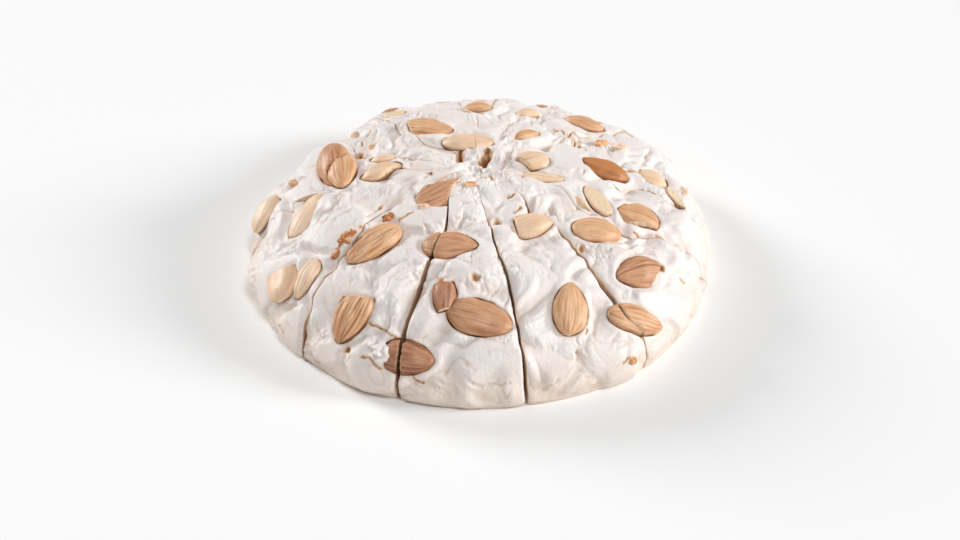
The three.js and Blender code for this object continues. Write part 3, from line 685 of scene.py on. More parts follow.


# ---- Wedges --------------------------------------------------------------------------------------
# The nougat itself, white and soft, in the twelve wedges that the strokes left. Each has the pulled
# skin on top, plain cut faces down to the foot, and a pocket round every almond. Sugar browned
# wherever the knife or an almond opened the nougat, and painted shade darkens cuts, pockets and
# creases.

# Folds of the skin: kind, width, depth, and its path as azimuth and millimetres down from the middle.
FOLDS = [
    # lower left and left flank
    ("crease", 1, 1.6, [(171, 88.5), (169, 84.5), (171.5, 75.5)]),
    ("ridge", 3, 1.8, [(175.5, 69.5), (178.5, 76.5), (-179.5, 83.5)]),
    ("crease", 1, 1, [(-173.5, 101), (-164, 99), (-159.5, 97)]),
    ("ridge", 2.5, 1.6, [(177.5, 85), (178, 91), (-178.5, 94.5), (-176, 97)]),
    ("crease", 0.7, 0.8,
     [(-162.5, 50.5), (-162, 57), (-160.5, 64), (-156, 70.5), (-153.5, 78), (-151, 83)]),
    ("crease", 0.6, 0.6, [(-155, 49.5), (-155.5, 58), (-154.5, 65), (-151.5, 71.5), (-149.5, 78.5)]),
    ("crease", 0.6, 0.6,
     [(-166.5, 53.5), (-166, 61.5), (-163.5, 69.5), (-159.5, 75), (-156, 80.5), (-153.5, 85)]),
    ("crease", 0.8, 0.7, [(-156, 42.5), (-149.5, 51.5), (-148, 60), (-146, 67.5)]),
    ("crease", 0.7, 1.4, [(-147, 62), (-143, 61.5), (-140.5, 57.5), (-141.5, 53.5)]),
    ("crease", 0.8, 1.6, [(-137.5, 75), (-140.5, 71), (-142.5, 66.5)]),
    ("ridge", 4, 1.6, [(-136, 77), (-133, 84), (-130, 87.5)]),
    ("crease", 0.8, 1, [(-138.5, 81.5), (-134.5, 86.5), (-131, 89.5)]),
    ("crease", 0.7, 0.9, [(-134.5, 72.5), (-132, 78.5), (-129.5, 84.5)]),
    ("valley", 4, 1.5, [(-131.5, 70.5), (-125, 69.5), (-119.5, 71.5)]),
    ("ridge", 3, 1.6, [(-125.5, 72), (-124.5, 64.5), (-123, 56.5)]),
    ("crease", 0.7, 0.8, [(-134.5, 92), (-132, 95), (-130, 96.5)]),
    ("crease", 0.7, 0.8, [(-133, 104.5), (-131, 106.5), (-129, 106.5)]),
    ("crack", 0.5, 1.2, [(-119.5, 92.5), (-115.5, 93.5), (-111, 95)]),
    ("crack", 0.5, 1, [(-118, 105.5), (-115.5, 106), (-113, 108)]),
    ("crack", 0.6, 1.8, [(-144.5, 113.5), (-142, 114.5)]),
    ("crease", 0.6, 1.2, [(-142.5, 109.5), (-139, 110.5)]),
    ("crease", 0.6, 1.2, [(-147.5, 120), (-144.5, 121)]),
    ("ridge", 1.5, 1, [(-126.5, 123), (-120.5, 118), (-117, 117.5)]),
    ("crease", 0.8, 1, [(-149, 104), (-145, 103.5), (-141, 100.5)]),
    # middle and front
    ("crease", 0.6, 1, [(-107, 37), (-99.5, 35.5), (-87, 35.5)]),
    ("crease", 0.6, 0.8, [(-107, 33.5), (-103.5, 28.5), (-95, 25.5), (-87.5, 27)]),
    ("crack", 0.4, 0.9, [(-61, 24), (-53, 23.5)]),
    ("crack", 0.4, 1, [(-65, 34), (-57.5, 32)]),
    ("valley", 5, 0.8, [(-65.5, 28.5), (-53, 28)]),
    ("crease", 1, 1, [(-42, 37.5), (-42.5, 43), (-45.5, 47.5)]),
    ("crease", 0.8, 0.8, [(-40.5, 39.5), (-49, 42)]),
    ("ridge", 2.5, 1, [(-63, 50.5), (-64.5, 57.5), (-65, 64)]),
    ("crease", 0.7, 1.2, [(-123.5, 42), (-118.5, 45.5), (-114, 46.5), (-110.5, 45)]),
    ("crack", 0.6, 1.4, [(-134.5, 47), (-133, 43), (-132.5, 40)]),
    ("crease", 0.7, 0.8, [(-114, 68), (-111, 70.5), (-109, 72.5)]),
    ("crease", 0.6, 0.6, [(-113, 66), (-109.5, 67.5)]),
    ("crease", 0.6, 1.1, [(-93.5, 106.5), (-91.5, 110), (-88.5, 110), (-83, 109.5)]),
    ("crease", 0.6, 0.8, [(-94, 100), (-93, 102), (-91, 103.5)]),
    ("crease", 0.5, 0.8, [(-98.5, 106.5), (-97.5, 104)]),
    ("crease", 0.6, 0.7, [(-96.5, 110.5), (-94.5, 114.5)]),
    ("crease", 0.6, 0.6, [(-100.5, 108.5), (-98.5, 110), (-96.5, 110.5)]),
    ("crack", 0.5, 1, [(-106.5, 107), (-105.5, 109), (-104.5, 110), (-103, 111)]),
    ("crease", 0.6, 1, [(-77, 116.5), (-75.5, 114), (-73.5, 112.5), (-71.5, 110)]),
    ("crease", 0.6, 0.4, [(-82.5, 94.5), (-82, 97.5), (-81, 96.5)]),
    ("ridge", 0.8, 0.8, [(-91, 92.5), (-88.5, 89), (-84.5, 88.5)]),
    # right front
    ("valley", 3.5, 1.4, [(-60, 88.5), (-61, 93.5), (-64, 99), (-66, 102)]),
    ("crack", 0.5, 1.4, [(-60, 89.5), (-61.5, 92)]),
    ("crack", 0.5, 1.4, [(-62, 94), (-62.5, 96)]),
    ("crease", 0.5, 0.8, [(-65.5, 95), (-65.5, 99.5)]),
    ("crease", 0.6, 0.8, [(-64, 98.5), (-62, 97), (-60, 96.5)]),
    ("crack", 0.8, 2.4, [(-66, 101.5), (-66, 104.5)]),
    ("crease", 0.6, 0.7, [(-57.5, 103), (-56, 101), (-54.5, 101)]),
    ("crease", 0.6, 0.7, [(-58, 107), (-56.5, 105), (-52, 105)]),
    ("crack", 0.5, 1, [(-56.5, 111.5), (-55, 110.5), (-54, 111)]),
    ("crease", 0.6, 0.5, [(-67, 105), (-65, 108)]),
    # right
    ("crease", 0.8, 1, [(-43, 64), (-36, 69), (-25.5, 73.5), (-22, 78)]),
    ("crease", 0.8, 0.9, [(-45, 67.5), (-36, 72), (-24, 79)]),
    ("crease", 0.8, 0.6, [(-40.5, 73.5), (-36, 74.5), (-28.5, 80)]),
    ("crease", 0.6, 1.2, [(-47, 61.5), (-46, 65.5), (-47, 68)]),
    ("crack", 0.5, 1, [(-26.5, 99.5), (-25.5, 102.5)]),
    ("crack", 0.7, 0.8, [(-25, 72), (-23, 76.5), (-20.5, 79.5), (-18.5, 83)]),
    ("crease", 0.7, 0.7, [(-38, 94.5), (-34, 95), (-30.5, 97.5)]),
    ("ridge", 4, 1, [(-14, 81.5), (-6, 88.5), (-3, 98.5)]),
    ("crease", 0.6, 0.5, [(-26.5, 94.5), (-24, 99.5), (-19, 104.5)]),
    # far right
    ("crack", 0.5, 1.6, [(39.5, 51.5), (42, 55.5), (38.5, 56.5), (34.5, 56)]),
    ("crack", 0.5, 1.2, [(38.5, 52), (36.5, 53), (33, 51)]),
    ("crease", 0.8, 1.6, [(26.5, 86), (21.5, 81), (16, 75)]),
    ("crease", 0.6, 0.8, [(17, 67), (19, 72.5), (18, 76.5)]),
    ("ridge", 2, 1, [(27.5, 91.5), (26, 94.5), (21.5, 94.5)]),
    ("valley", 3, 1.4, [(-4.5, 54.5), (-4.5, 62), (0.5, 67.5)]),
    ("crease", 0.6, 0.8, [(6.5, 89.5), (11.5, 94.5), (11.5, 97)]),
    # middle
    ("flap", 2, 1.2, [(64.5, 18), (50, 25.5), (44, 34), (41.5, 39.5)]),
    ("valley", 2.5, 1.8, [(38, 38), (28.5, 34.5), (22, 30.5)]),
    ("crack", 0.5, 2, [(-53.5, 7), (-58.5, 11)]),
    ("ridge", 1.1, 2.2, [(117, 15.5), (104, 16.5), (89, 15), (80.5, 12.5)]),
    ("ridge", 1, 2, [(131, 11.5), (115.5, 9.5), (93, 11)]),
    ("ridge", 1.4, 2.4, [(-169, 10.5), (151.5, 8), (115, 7.5), (85.5, 4), (-99, 3.5)]),
    ("ridge", 1, 2, [(67, 2), (22.5, 4.5), (-33.5, 9.5), (-34, 13)]),
    ("crease", 0.7, 0.7, [(92, 53.5), (91, 44), (93.5, 37)]),
    ("valley", 2.5, 1.6, [(59.5, 32), (63.5, 42), (64.5, 53.5)]),
    ("crease", 0.6, 0.6, [(116.5, 64.5), (118, 52.5)]),
    ("crease", 0.6, 0.6, [(110, 62), (109, 55.5)]),
    # the torn middle
    ("ridge", 1.5, 2.2, [(118, 14.5), (99, 15), (81.5, 13.5)]),
    ("ridge", 1.4, 2.2, [(-169.5, 10.5), (151.5, 5.5), (80, 2.5)]),
    ("ridge", 1.5, 2.0, [(-80.5, 4.5), (-26.5, 6.5), (-32.5, 13)]),
    ("gouge", 1.3, 2.2, [(121, 17), (129.5, 13), (142, 10.5)]),
    ("gouge", 1.5, 2.4, [(83, 4.5), (69.5, 9.5), (72, 12)]),
    ("gouge", 0.8, 1.2, [(-173, 21), (-160, 22)]),
    ("gouge", 0.9, 2.0, [(-110, 8), (-60, 8.5)]),
    ("crease", 0.9, 1.6, [(-150, 20), (-140, 12), (-120, 9)]),
    ("crease", 0.8, 1.4, [(10, 9), (40, 16), (50, 22)]),
]
# Blow holes and torn spots: azimuth, down, radius, depth.
PITS = [
    (-164.5, 93, 1.2, 1.2), (-162, 91, 0.9, 1), (-163, 89.5, 0.8, 0.8), (156.5, 59, 1.8, 2.8),
    (143, 68, 0.7, 0.8), (147, 61, 0.7, 0.8), (144.5, 60, 0.6, 0.7), (150, 53, 0.8, 0.9),
    (149.5, 60, 0.6, 0.8), (163.5, 46, 1.8, 0.8), (-122.5, 105.5, 1.6, 2.2), (-117, 102, 0.8, 1),
    (-116, 102.5, 0.7, 0.9), (-117, 101, 0.7, 0.8), (-79, 36, 1.8, 2), (-94, 54.5, 0.6, 0.8),
    (-91.5, 51.5, 0.7, 0.8), (-88.5, 53, 0.6, 0.7), (-90, 59.5, 0.7, 0.8), (-93, 61, 0.6, 0.7),
    (-92, 67, 1.5, 1.8), (-90.5, 66.5, 0.8, 1.4), (-103.5, 67.5, 1.3, 1.8), (-84.5, 56, 0.7, 0.9),
    (-70, 60, 0.6, 0.8), (-68.5, 67, 0.6, 0.7), (-90.5, 99.5, 0.6, 0.7), (-98.5, 101, 0.6, 0.7),
    (-83.5, 99.5, 0.5, 0.7), (-83.5, 109, 0.7, 0.9), (-86, 108, 0.6, 0.7), (-76, 87, 0.8, 0.9),
    (-78.5, 102, 0.5, 0.7), (-65.5, 113, 0.7, 1), (-47, 61.5, 1.2, 1.6), (-50.5, 62.5, 0.9, 1.2),
    (-30, 90, 1.6, 2.4), (-9, 106, 0.8, 1), (-23, 105.5, 0.7, 0.9), (-17.5, 61.5, 0.8, 1.4),
    (32.5, 71.5, 0.8, 1), (29, 71.5, 0.9, 1), (25, 70, 0.7, 0.9), (21.5, 65, 0.8, 0.8),
    (31, 67.5, 0.6, 0.8), (7, 73.5, 0.9, 1.2), (5.5, 76, 1, 1.3), (2, 74, 0.8, 1.2),
    (-5, 50, 0.6, 0.8), (-13.5, 42.5, 0.5, 0.7), (127.5, 14.5, 1.7, 2), (75, 8, 1.9, 2.2),
    (-165.5, 21.5, 1.4, 1.4), (-173, 16, 1, 1.5), (74, 56, 0.9, 1.5), (179.5, 43, 0.8, 1),
    (-172.5, 40, 1, 1.2), (-175, 37.5, 0.8, 1), (-165, 37, 0.8, 1), (-151.5, 47.5, 1.3, 1.8),
    (-144, 48.5, 0.9, 1), (-143.5, 60, 1.1, 1.4), (-143, 57, 0.8, 1), (-44.5, 48, 0.6, 0.9),
]

# Dabs of nougat that lie over an almond: azimuth, down, radius, height.
LUMPS = [(-113.5, 102.5, 4.2, 3.4), (-117, 99, 3, 1.6)]

# noise_vector starts from the clock unless it is given a seed, and the skin would never be the same.
SKIN_SEED = 3
noise.seed_set(SKIN_SEED)

FAR_FOLDS = 46
FAR_PITS = 60
FAR_STEP = 7
FAR_KINDS = [("crease", 0.8), ("crease", 0.6), ("ridge", 2.5), ("valley", 3), ("crack", 0.5)]
CELL = 0.45
OVERHANG = 0.4
EDGE_ROLL_WIDTH = 2.2
LIP_ROLL_WIDTH = 0.5
ALMOND_CALM = 3.5
# How the skin dips into a cut, and how much more where the gap is wide.
EDGE_ROLL, EDGE_ROLL_BY_GAP = 0.35, 0.45
LIP_ROLL, LIP_ROLL_BY_GAP = 0.15, 0.25
WELL_RISE, WELL_VARIES = 0.35, 1.3
# From and to how far out the cuts have closed again, the middle ends and the foot begins.
HEALED_ZONE = (8, 22)
MIDDLE_ZONE = (15, 30)
FOOT_ZONE = (84, 98)
MOST_RISE = 2.8
FOOT_LESS = 1.8
# No skin stands out of the box of the solids.
BOX_SPARE = 0.05
box_low, box_high = (np.array(corner) / MM for corner in cad_box)

# The side away from the front gets folds and holes of the same kinds, scattered by a fixed seed.
scatter = random.Random(11)
for _ in range(FAR_FOLDS):
    azimuth, down = scatter.uniform(5, 165), scatter.uniform(30, 116)
    heading = scatter.uniform(0, 2 * pi)
    path = []
    for _ in range(3):
        path.append((azimuth, down))
        heading += scatter.uniform(-0.5, 0.5)
        azimuth += np.cos(heading) * FAR_STEP / max(down, 20) * 57
        down = min(max(down + np.sin(heading) * FAR_STEP, 8), 120)
    kind, width = scatter.choice(FAR_KINDS)
    FOLDS.append((kind, width, scatter.uniform(0.7, 1.5), path))
for _ in range(FAR_PITS):
    PITS.append((scatter.uniform(0, 170), scatter.uniform(20, 116), scatter.uniform(0.5, 1.2), 1.0))

fold_paths = []
for kind, width, depth, path in FOLDS:
    corners = np.array([dome_place(np.array(float(a)), d)[0] for a, d in path])
    fold_paths.append((kind, width, depth, corners))
pit_places = [(dome_place(np.array(float(a)), d)[0], wide, deep) for a, d, wide, deep in PITS]


def near_path(points, corners):
    """Each point's distance to a path, and the share along the path where it is nearest."""
    best = np.full(len(points), 1e9)
    share = np.zeros(len(points))
    steps = np.diff(corners, axis=0)
    lengths = np.linalg.norm(steps, axis=1)
    done = 0
    for corner, step, length in zip(corners, steps, lengths):
        t = np.clip((points - corner) @ step / length ** 2, 0, 1)
        gap = np.linalg.norm(points - corner - t[:, None] * step, axis=1)
        closer = gap < best
        best[closer] = gap[closer]
        share[closer] = (done + t[closer] * length) / lengths.sum()
        done += length
    return best, share


FOLD_WANDER = 0.9


def folds_at(points, normals):
    """Rise of the folds and holes, and how dark their colour is, from browned sugar and painted shade.
    """
    wander = np.array([
        noise.noise_vector(Vector(p) * 0.4) + noise.noise_vector(Vector(p)) * 0.35 for p in points
    ])
    points = points + FOLD_WANDER * wander
    rise = np.zeros(len(points))
    brown = np.zeros(len(points))
    for kind, width, depth, corners in fold_paths:
        middle = corners.mean(0)
        reach = np.linalg.norm(corners - middle, axis=1).max() + 5 * width + 2
        near = ((points - middle) ** 2).sum(1) < reach * reach
        if not near.any():
            continue
        gap, share = near_path(points[near], corners)
        fade = np.clip(1 - np.abs(2 * share - 1) ** 5, 0.15, 1) * depth
        if kind == "ridge":
            rise[near] += fade * np.exp(-(gap / width) ** 2)
        elif kind == "valley":
            rise[near] -= fade * np.exp(-(gap / width) ** 2)
        elif kind == "flap":
            turned = np.cross(corners[-1] - corners[0], points[near] - corners[0])
            side = np.sign(np.einsum("ij,ij->i", turned, normals[near]))
            step = 0.5 + 0.5 * np.tanh(side * gap / 0.35)
            rise[near] += fade * np.exp(-gap / width) * (1.4 * step - 0.4)
        else:
            shoulder = 0.35 * np.exp(-((gap - 2.4 * width) / width) ** 2)
            rise[near] += fade * (shoulder - 1.3 * np.exp(-gap / width))
            # Crease lines are painted shade; cracks and gouges are partly browned sugar and partly
            # painted shade.
            core, line = {"crack": (0.7, 0.5), "gouge": (0.9, 0.9 * width)}.get(kind, (0.12, 0.45))
            brown[near] = np.maximum(brown[near], core * np.exp(-(gap / line) ** 2))
    for centre, wide, deep in pit_places:
        gap = np.linalg.norm(points - centre, axis=1)
        near = gap < wide * 4
        t = gap[near] / wide
        rise[near] += 0.7 * deep * (0.25 * np.exp(-((t - 1.6) / 0.5) ** 2) - np.exp(-t ** 2.4))
        # Deep holes are browned inside, partly browned sugar and partly painted shade.
        if deep > 1.3:
            brown[near] = np.maximum(brown[near], min(0.85, deep / 2.8) * np.exp(-t ** 3))
    return rise, brown


# The pulled skin's patterns, in waves a millimetre, and how high the largest two stand.
SWIRL_WAVES = 0.05
SWIRL_REACH = 10
LOBE_WAVES = 0.046
PILLOW_WAVES = 0.1
RIPPLE_WAVES = 0.26
THREAD_WAVES = 0.8
TORN_LUMP_WAVES = 0.42
TORN_CRUMB_WAVES = 1.1
LOBE_RISE = 10
PILLOW_RISE = 3.6
CREASE_ROUNDING = 0.012
CREASE_DEPTH = 0.5
TORN_MIDDLE = 20


def pulled_at(points):
    """Rise of the pulled skin, and its browned sugar and painted shade: broad lobes, pillows that meet
    in thin creases with painted shade, ripples and threads in busy places, and torn, crumbly spots."""
    rise = np.empty(len(points))
    brown = np.zeros(len(points))
    for i, place in enumerate(points):
        at = Vector(place)
        swirl = at + noise.noise_vector(at * SWIRL_WAVES) * SWIRL_REACH
        big = noise.noise(swirl * LOBE_WAVES)
        pillow = noise.noise(swirl * PILLOW_WAVES + Vector((0, 0, 4)))
        ripple = abs(noise.noise(swirl * RIPPLE_WAVES + Vector((9, 0, 0))))
        thread = noise.noise(swirl * THREAD_WAVES)
        busy = min(1, max(0, noise.noise(at * 0.05 + Vector((0, 5, 0))) * 3 + 0.1))
        torn = min(1, max(0, (noise.noise(at * 0.055 + Vector((3, 0, 7))) - 0.3) * 7))
        torn = max(torn, min(1, max(0, (TORN_MIDDLE - at.xy.length) / 6)))
        rise[i] = LOBE_RISE * ((big * big + CREASE_ROUNDING) ** 0.5 - 0.24)
        rise[i] += PILLOW_RISE * ((pillow * pillow + CREASE_ROUNDING) ** 0.5 - 0.22)
        rise[i] += (0.25 + 1.0 * busy) * (ripple - 0.17) + (0.06 + 0.16 * busy) * thread
        crease = np.exp(-(pillow / 0.028) ** 2) * min(1, max(0, noise.noise(at * 0.08) * 3 + 0.2))
        rise[i] -= CREASE_DEPTH * crease
        # The thin creases are painted darker: painted shade.
        brown[i] = 0.12 * crease
        if torn > 0:
            lump = noise.noise(at * TORN_LUMP_WAVES + Vector((0, 8, 0)))
            crumb = noise.noise(at * TORN_CRUMB_WAVES + Vector((0, 0, 9)))
            rise[i] += torn * (1.2 * abs(lump) + 0.5 * crumb - 0.3)
            deep = max(0, noise.noise(at * 0.17 + Vector((6, 0, 2))) - 0.4) * 4
            brown[i] += torn * min(0.25, max(0, -crumb - 0.1) * 0.8 * deep)
    return rise, brown


rims = [
    (wedges, BVHTree.FromPolygons(
        [v.co / MM for v in pocket.data.vertices], [face.vertices[:] for face in pocket.data.polygons],
    ))
    for wedges, pocket in pockets
]


def gap_to_almonds(points, index, reach):
    """How far points are from the nearest almond's pocket in a wedge, up to a reach; 0 inside it."""
    best = np.full(len(points), float(reach))
    for wedges, rim in rims:
        if index not in wedges:
            continue
        for i, place in enumerate(points):
            surface, normal, _, gap = rim.find_nearest(Vector(place), best[i])
            if gap is not None:
                best[i] = 0 if (Vector(place) - surface).dot(normal) < 0 else gap
    return best


def nougat_material(name, body, shade, rough):
    """Nougat: sugar and egg-white foam with fine air in it, so light soaks in and it shines softly."""
    material, tree = new_material(name)
    place = add_node(tree, "ShaderNodeTexCoord").outputs["Object"]
    # The brown attribute darkens the colour for browned sugar and also as painted shade in creases,
    # hollows, pockets and cuts.
    brown = add_node(tree, "ShaderNodeAttribute", attribute_name="brown").outputs["Fac"]
    clouds = add_node(
        tree, "ShaderNodeTexNoise", {"Vector": place, "Scale": 55.0, "Detail": 3.0, "Roughness": 0.55},
    ).outputs["Fac"]
    in_cloud = add_node(
        tree, "ShaderNodeMapRange", {0: clouds, 1: 0.42, 2: 0.7, 3: 0.0, 4: 0.7},
    ).outputs[0]
    white = add_node(
        tree, "ShaderNodeMix", {0: in_cloud, 6: linear(body), 7: linear(shade)}, data_type="RGBA",
    ).outputs[2]
    # The foot is painted a little duller and warmer: a painted reflection of warm light from the gold
    # plate the cake stood on, which is left out.
    height = add_node(tree, "ShaderNodeSeparateXYZ", {"Vector": place}).outputs["Z"]
    at_foot = add_node(
        tree, "ShaderNodeMapRange", {0: height, 1: 0.02, 2: 0.001, 3: 0.0, 4: 0.75},
    ).outputs[0]
    white = add_node(
        tree, "ShaderNodeMix", {0: at_foot, 6: white, 7: linear("#ead6c3")}, data_type="RGBA",
    ).outputs[2]
    ramp = add_node(tree, "ShaderNodeValToRGB", {0: brown})
    stops = ramp.color_ramp.elements
    stops[0].position, stops[0].color = 0.0, linear("#ffffff")
    stops[1].position, stops[1].color = 1.0, linear("#6a3a1c")
    for position, colour in ((0.3, "#e9cfae"), (0.65, "#ae7443")):
        stops.new(position).color = linear(colour)
    colour = add_node(
        tree, "ShaderNodeMix", {0: 1.0, 6: white, 7: ramp.outputs[0]},
        data_type="RGBA", blend_type="MULTIPLY",
    ).outputs[2]
    # Sugar grain of about 0.5 mm, and pulled threads of about 2 mm.
    grit = add_node(
        tree, "ShaderNodeTexNoise", {"Vector": place, "Scale": 1500.0, "Detail": 2.0, "Roughness": 0.6},
    ).outputs["Fac"]
    threads = add_node(
        tree, "ShaderNodeTexNoise",
        {"Vector": place, "Scale": 420.0, "Detail": 3.0, "Roughness": 0.55, "Distortion": 1.2},
    ).outputs["Fac"]
    soft = add_node(
        tree, "ShaderNodeBump", {"Height": threads, "Strength": 0.35, "Distance": 0.0008},
    ).outputs[0]
    bump = add_node(
        tree, "ShaderNodeBump", {"Height": grit, "Strength": 0.18, "Distance": 0.0003, "Normal": soft},
    ).outputs[0]
    foam = add_node(
        tree, "ShaderNodeBsdfPrincipled",
        {
            "Base Color": colour, "Roughness": rough, "IOR": 1.45, "Normal": bump,
            "Subsurface Weight": 0.25, "Subsurface Radius": (1.0, 0.7, 0.55),
            "Subsurface Scale": 0.0012,
        },
    ).outputs[0]
    add_node(tree, "ShaderNodeOutputMaterial", {"Surface": foam})
    return material


nougat_skin = nougat_material("nougat_pulled_skin", "#f9f1ed", "#f0e5e0", 0.46)
nougat_cut = nougat_material("nougat_knife_cut", "#f0dfce", "#e4cdb6", 0.6)

for index in range(len(STROKES)):
    # A flat grid, laid on the dome a little wider than the wedge, with its edge drawn down below
    # the floor. The sector then cuts it to the wedge.
    name = f"wedge_{index + 1:02d}"
    rim = np.array([CAKE_RADIUS - FOOT_TUCK])
    start, end = wedge_sides(index, rim)
    columns = round((end[0] - start[0]) * rim[0] / CELL)
    bpy.ops.object.select_all(action="DESELECT")
    bpy.ops.mesh.primitive_grid_add(
        x_subdivisions=columns, y_subdivisions=round(SKIN_LENGTH / CELL), size=2,
    )
    wedge = start_piece(name + "_nougat")
    bpy.ops.object.mode_set(mode="EDIT")
    bpy.ops.mesh.region_to_loop()
    bpy.ops.mesh.extrude_edges_move(TRANSFORM_OT_translate={"value": (0, 0, -1)})
    bpy.ops.mesh.edge_face_add()
    bpy.ops.object.mode_set(mode="OBJECT")

    flat = read_places(wedge) * MM
    top = flat[:, 2] > -0.5
    share = (flat[:, 0] + 1) / 2
    share = 0.55 * share + 0.45 * (0.5 - 0.5 * np.cos(pi * share))
    down_share = (1 - flat[:, 1]) / 2
    tip = np.interp(TIP_RADIUS - OVERHANG, PROFILE_OUT, PROFILE_DOWN)
    angle = np.interp(tip + (SKIN_LENGTH - tip) * down_share, PROFILE_DOWN, PROFILE)
    angle[down_share > 1 - 1e-6] = 0
    out, up = dome(angle)
    start, end = wedge_sides(index, out, OVERHANG)
    azimuth = start + (end - start) * share
    slope = dome_normal(angle)
    points = around(azimuth, out, up)
    normals = around(azimuth, slope[:, 0], slope[:, 1])
    swelled = points + normals * swell_at(points)[:, None]

    # The skin calms down beside an almond and wells up round it, and it rolls into the cuts.
    rim_gap = np.full(len(points), ALMOND_CALM)
    rim_gap[top] = gap_to_almonds(swelled[top], index, ALMOND_CALM)
    folds, _ = folds_at(points, normals)
    pulled, _ = pulled_at(points)
    at_foot = smooth_step(up, 0, 3)
    calm = smooth_step(rim_gap, 0.3, ALMOND_CALM)
    rise = (folds * (0.4 + 0.6 * calm) + pulled * (0.35 + 0.65 * calm)) * at_foot
    well = np.array([noise.noise(Vector(p) * 0.11) for p in points])
    rise += (WELL_RISE + WELL_VARIES * well) * np.exp(-((rim_gap - 1.6) / 1.5) ** 2) * at_foot
    rise -= 0.45 * np.exp(-(rim_gap / 0.45) ** 2)
    healed = smooth_step(out, *HEALED_ZONE)
    for stroke, to_edge in (
        (index, (azimuth - start) * out - OVERHANG), (index + 1, (end - azimuth) * out - OVERHANG),
    ):
        to_edge = np.maximum(to_edge, 0)
        gap = gap_of(stroke, out)
        rise -= healed * (EDGE_ROLL + EDGE_ROLL_BY_GAP * gap) * np.exp(-to_edge / EDGE_ROLL_WIDTH)
        rise -= healed * (LIP_ROLL + LIP_ROLL_BY_GAP * gap) * np.exp(-to_edge / LIP_ROLL_WIDTH)
    # The skin stands most out of the dome in the middle, and not at all at the foot.
    low = smooth_step(out, *FOOT_ZONE)
    rise = (rise - 0.3) * (1 - 0.3 * low) - 0.7 * low
    over = rise - (MOST_RISE - smooth_step(out, *MIDDLE_ZONE) - FOOT_LESS * low)
    rise -= (over + np.sqrt(over ** 2 + 0.3)) / 2
    for azimuth_at, down, wide, high in LUMPS:
        centre = dome_place(np.array(float(azimuth_at)), down)[0]
        near = np.linalg.norm(points - centre, axis=1) / wide
        rough = np.array([noise.noise(Vector(p) * 0.5) for p in points[near < 2]])
        rise[near < 2] += high * (1 + 0.9 * rough) * np.exp(-near[near < 2] ** 4)
    laid = swelled + normals * rise[:, None]
    laid = np.clip(laid, box_low + BOX_SPARE, box_high - BOX_SPARE)
    laid[down_share > 1 - 1e-6, 2] = -OVERHANG
    laid[~top, 2] = -4 * OVERHANG
    write_places(wedge, laid)
    wedge.data.materials.append(nougat_skin)
    wedge.data.materials.append(nougat_cut)
    face_outwards(wedge)
    shape_with(wedge, sectors[index], "INTERSECT")
    for wedges, pocket in pockets:
        if index in wedges:
            shape_with(wedge, pocket)

    # The cut faces are the upright ones that look along the strokes' sides.
    faces = wedge.data.polygons
    centres, looks = np.empty(len(faces) * 3), np.empty(len(faces) * 3)
    faces.foreach_get("center", centres)
    faces.foreach_get("normal", looks)
    centres, looks = centres.reshape(-1, 3), looks.reshape(-1, 3)
    outward = centres[:, :2] / np.linalg.norm(centres[:, :2], axis=1, keepdims=True)
    sideways = np.abs((looks[:, :2] * outward).sum(1)) < 0.9
    walls = (np.abs(looks[:, 2]) < 0.003) & sideways
    faces.foreach_set("material_index", walls.astype(np.int32))
    places = read_places(wedge)
    wall = np.zeros(len(places), dtype=bool)
    for face in np.nonzero(walls)[0]:
        wall[list(faces[face].vertices)] = True

    # Browned sugar and painted shade: darker in the pockets and along their rims, in the folds and
    # holes, in hollows of the skin and deep in the cuts.
    rim_gap = gap_to_almonds(places, index, 1.5)
    uneven = np.array([noise.noise(Vector(p) * 0.3) for p in places])
    # Rims of the pockets: partly browned sugar, partly painted shade of the crevice.
    browning_and_shade = np.clip(0.25 + 1.3 * uneven, 0, 0.8) * np.exp(-(rim_gap / 0.3) ** 2)
    under, over = nearest_on_dome(places)
    depth = swell_at(under) - over
    pocket_wall = (rim_gap < 0.02) & (depth > 0.3)
    # Painted shade: the pocket walls darken with depth.
    browning_and_shade = np.maximum(browning_and_shade, 0.7 * pocket_wall * smooth_step(depth, 0.3, 3))
    # The cut walls are slightly browned, and darken with depth as painted shade.
    browning_and_shade[wall] = np.maximum(browning_and_shade[wall], 0.08 + 0.5 * smooth_step(depth[wall], 1.5, 12))
    skin = ~wall & ~pocket_wall
    _, fold_browning_and_shade = folds_at(under[skin], np.zeros((skin.sum(), 3)))
    _, crease_shade_and_specks = pulled_at(under[skin])
    # Painted shade in the hollows of the skin.
    hollow_shade = 0.1 * smooth_step(depth[skin], 0.8, 3)
    browning_and_shade[skin] = np.maximum.reduce([browning_and_shade[skin], fold_browning_and_shade, crease_shade_and_specks, hollow_shade])
    set_attribute(wedge, "brown", browning_and_shade)
    wedge.data.shade_smooth()
    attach(wedge, "root")
    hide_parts(name)


# ---- Crumbs --------------------------------------------------------------------------------------
# Bits of broken almond that stuck to the skin as the nougat was patted round. They are rough all
# over, part roasted outside and part pale flesh.

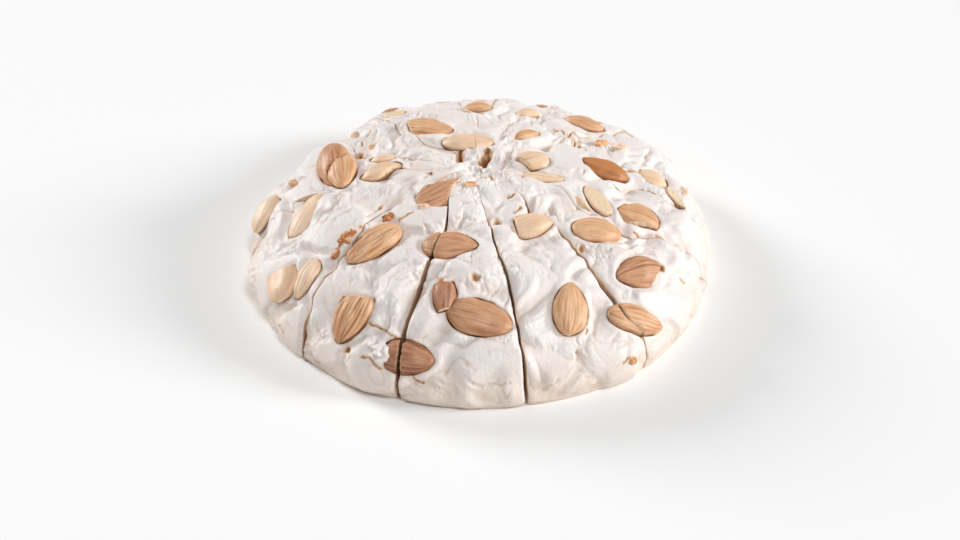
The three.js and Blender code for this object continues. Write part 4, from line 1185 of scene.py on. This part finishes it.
# Wedge, azimuth and radius, length, width, azimuth it is turned to, and roast.
CRUMBS = [
    (11, (-131, 36), 5, 4, 20, "pale"),
    (10, (-144, 66), 9, 5, 34, "deep"),
    (10, (-143, 72.5), 6, 3.5, 50, "deep"),
    (11, (-140.5, 48), 6, 4, 20, "deep"),
    (0, (-108, 15), 6, 3.2, 0, "orange"),
    (1, (-54, 101), 4, 3, 30, "orange"),
    (3, (-24.5, 46), 10, 3, -45, "cream"),
    (4, (8.5, 89.5), 7, 4.5, 80, "cream"),
    (4, (26, 69.4), 7, 4.5, 30, "cream"),
    (4, (32, 64.5), 8, 4.5, 45, "orange"),
    (5, (50, 38), 6, 4, 10, "orange"),
    (6, (78, 19), 6, 3, 80, "cream"),
    (8, (150, 54), 5, 4, -20, "cream"),
    (8, (138, 77), 5, 4, 10, "pale"),
    (9, (169, 84), 5, 4, -40, "pale"),
]
CRUMB_DEPTH = 0.2
REACH = 10

# Each crumb rests on the finished skin of its wedge, found from above.
depsgraph = bpy.context.evaluated_depsgraph_get()
skins = {
    index: BVHTree.FromObject(bpy.data.objects[f"wedge_{index + 1:02d}_nougat"], depsgraph)
    for index in {crumb[0] for crumb in CRUMBS}
}

for number, (index, at, length, width, turn, roast) in enumerate(CRUMBS, 1):
    bpy.ops.object.select_all(action="DESELECT")
    bpy.ops.mesh.primitive_ico_sphere_add(subdivisions=5, radius=0.5 * MM)
    crumb = start_piece(f"crumb_{number:02d}_almond")
    ball = read_places(crumb) / 0.5
    rough = [
        0.9 + 0.55 * abs(noise.noise(Vector(p) * 1.3 + Vector((number * 5, 0, 0))))
        + 0.2 * noise.noise(Vector(p) * 3.5 + Vector((0, number, 0))) for p in ball
    ]
    ball *= np.array(rough)[:, None] * np.array([length, width, width]) / 2
    write_places(crumb, ball)
    place = place_on_skin(at, turn, 0)
    normal = place.col[2].xyz
    start = (place.translation + normal * REACH) * MM
    found = skins[index].ray_cast(start, -normal)[0]
    if found is not None:
        place.translation = found / MM
    place.translation -= normal * width * CRUMB_DEPTH
    crumb.data.transform(to_metres(place))
    shape_with(crumb, sectors[index], "INTERSECT")
    places = read_places(crumb)
    flesh = np.array([noise.noise(Vector(p) * 0.4 + Vector((number, 0, 0))) for p in places])
    set_attribute(crumb, "grain", places * 0.1, "FLOAT_VECTOR")
    set_attribute(crumb, "cut", smooth_step(flesh, 0.1, 0.35) * 0.7)
    set_attribute(crumb, "over", np.full(len(places), 2.0))
    set_attribute(crumb, "rib", flesh)
    crumb.data.materials.clear()
    crumb.data.materials.append(ROASTS[roast])
    crumb.data.shade_smooth()
    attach(crumb, "root")
    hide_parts(f"wedge_{index + 1:02d}")

for piece in sectors + [pocket for _, pocket in pockets]:
    throw_away(piece)
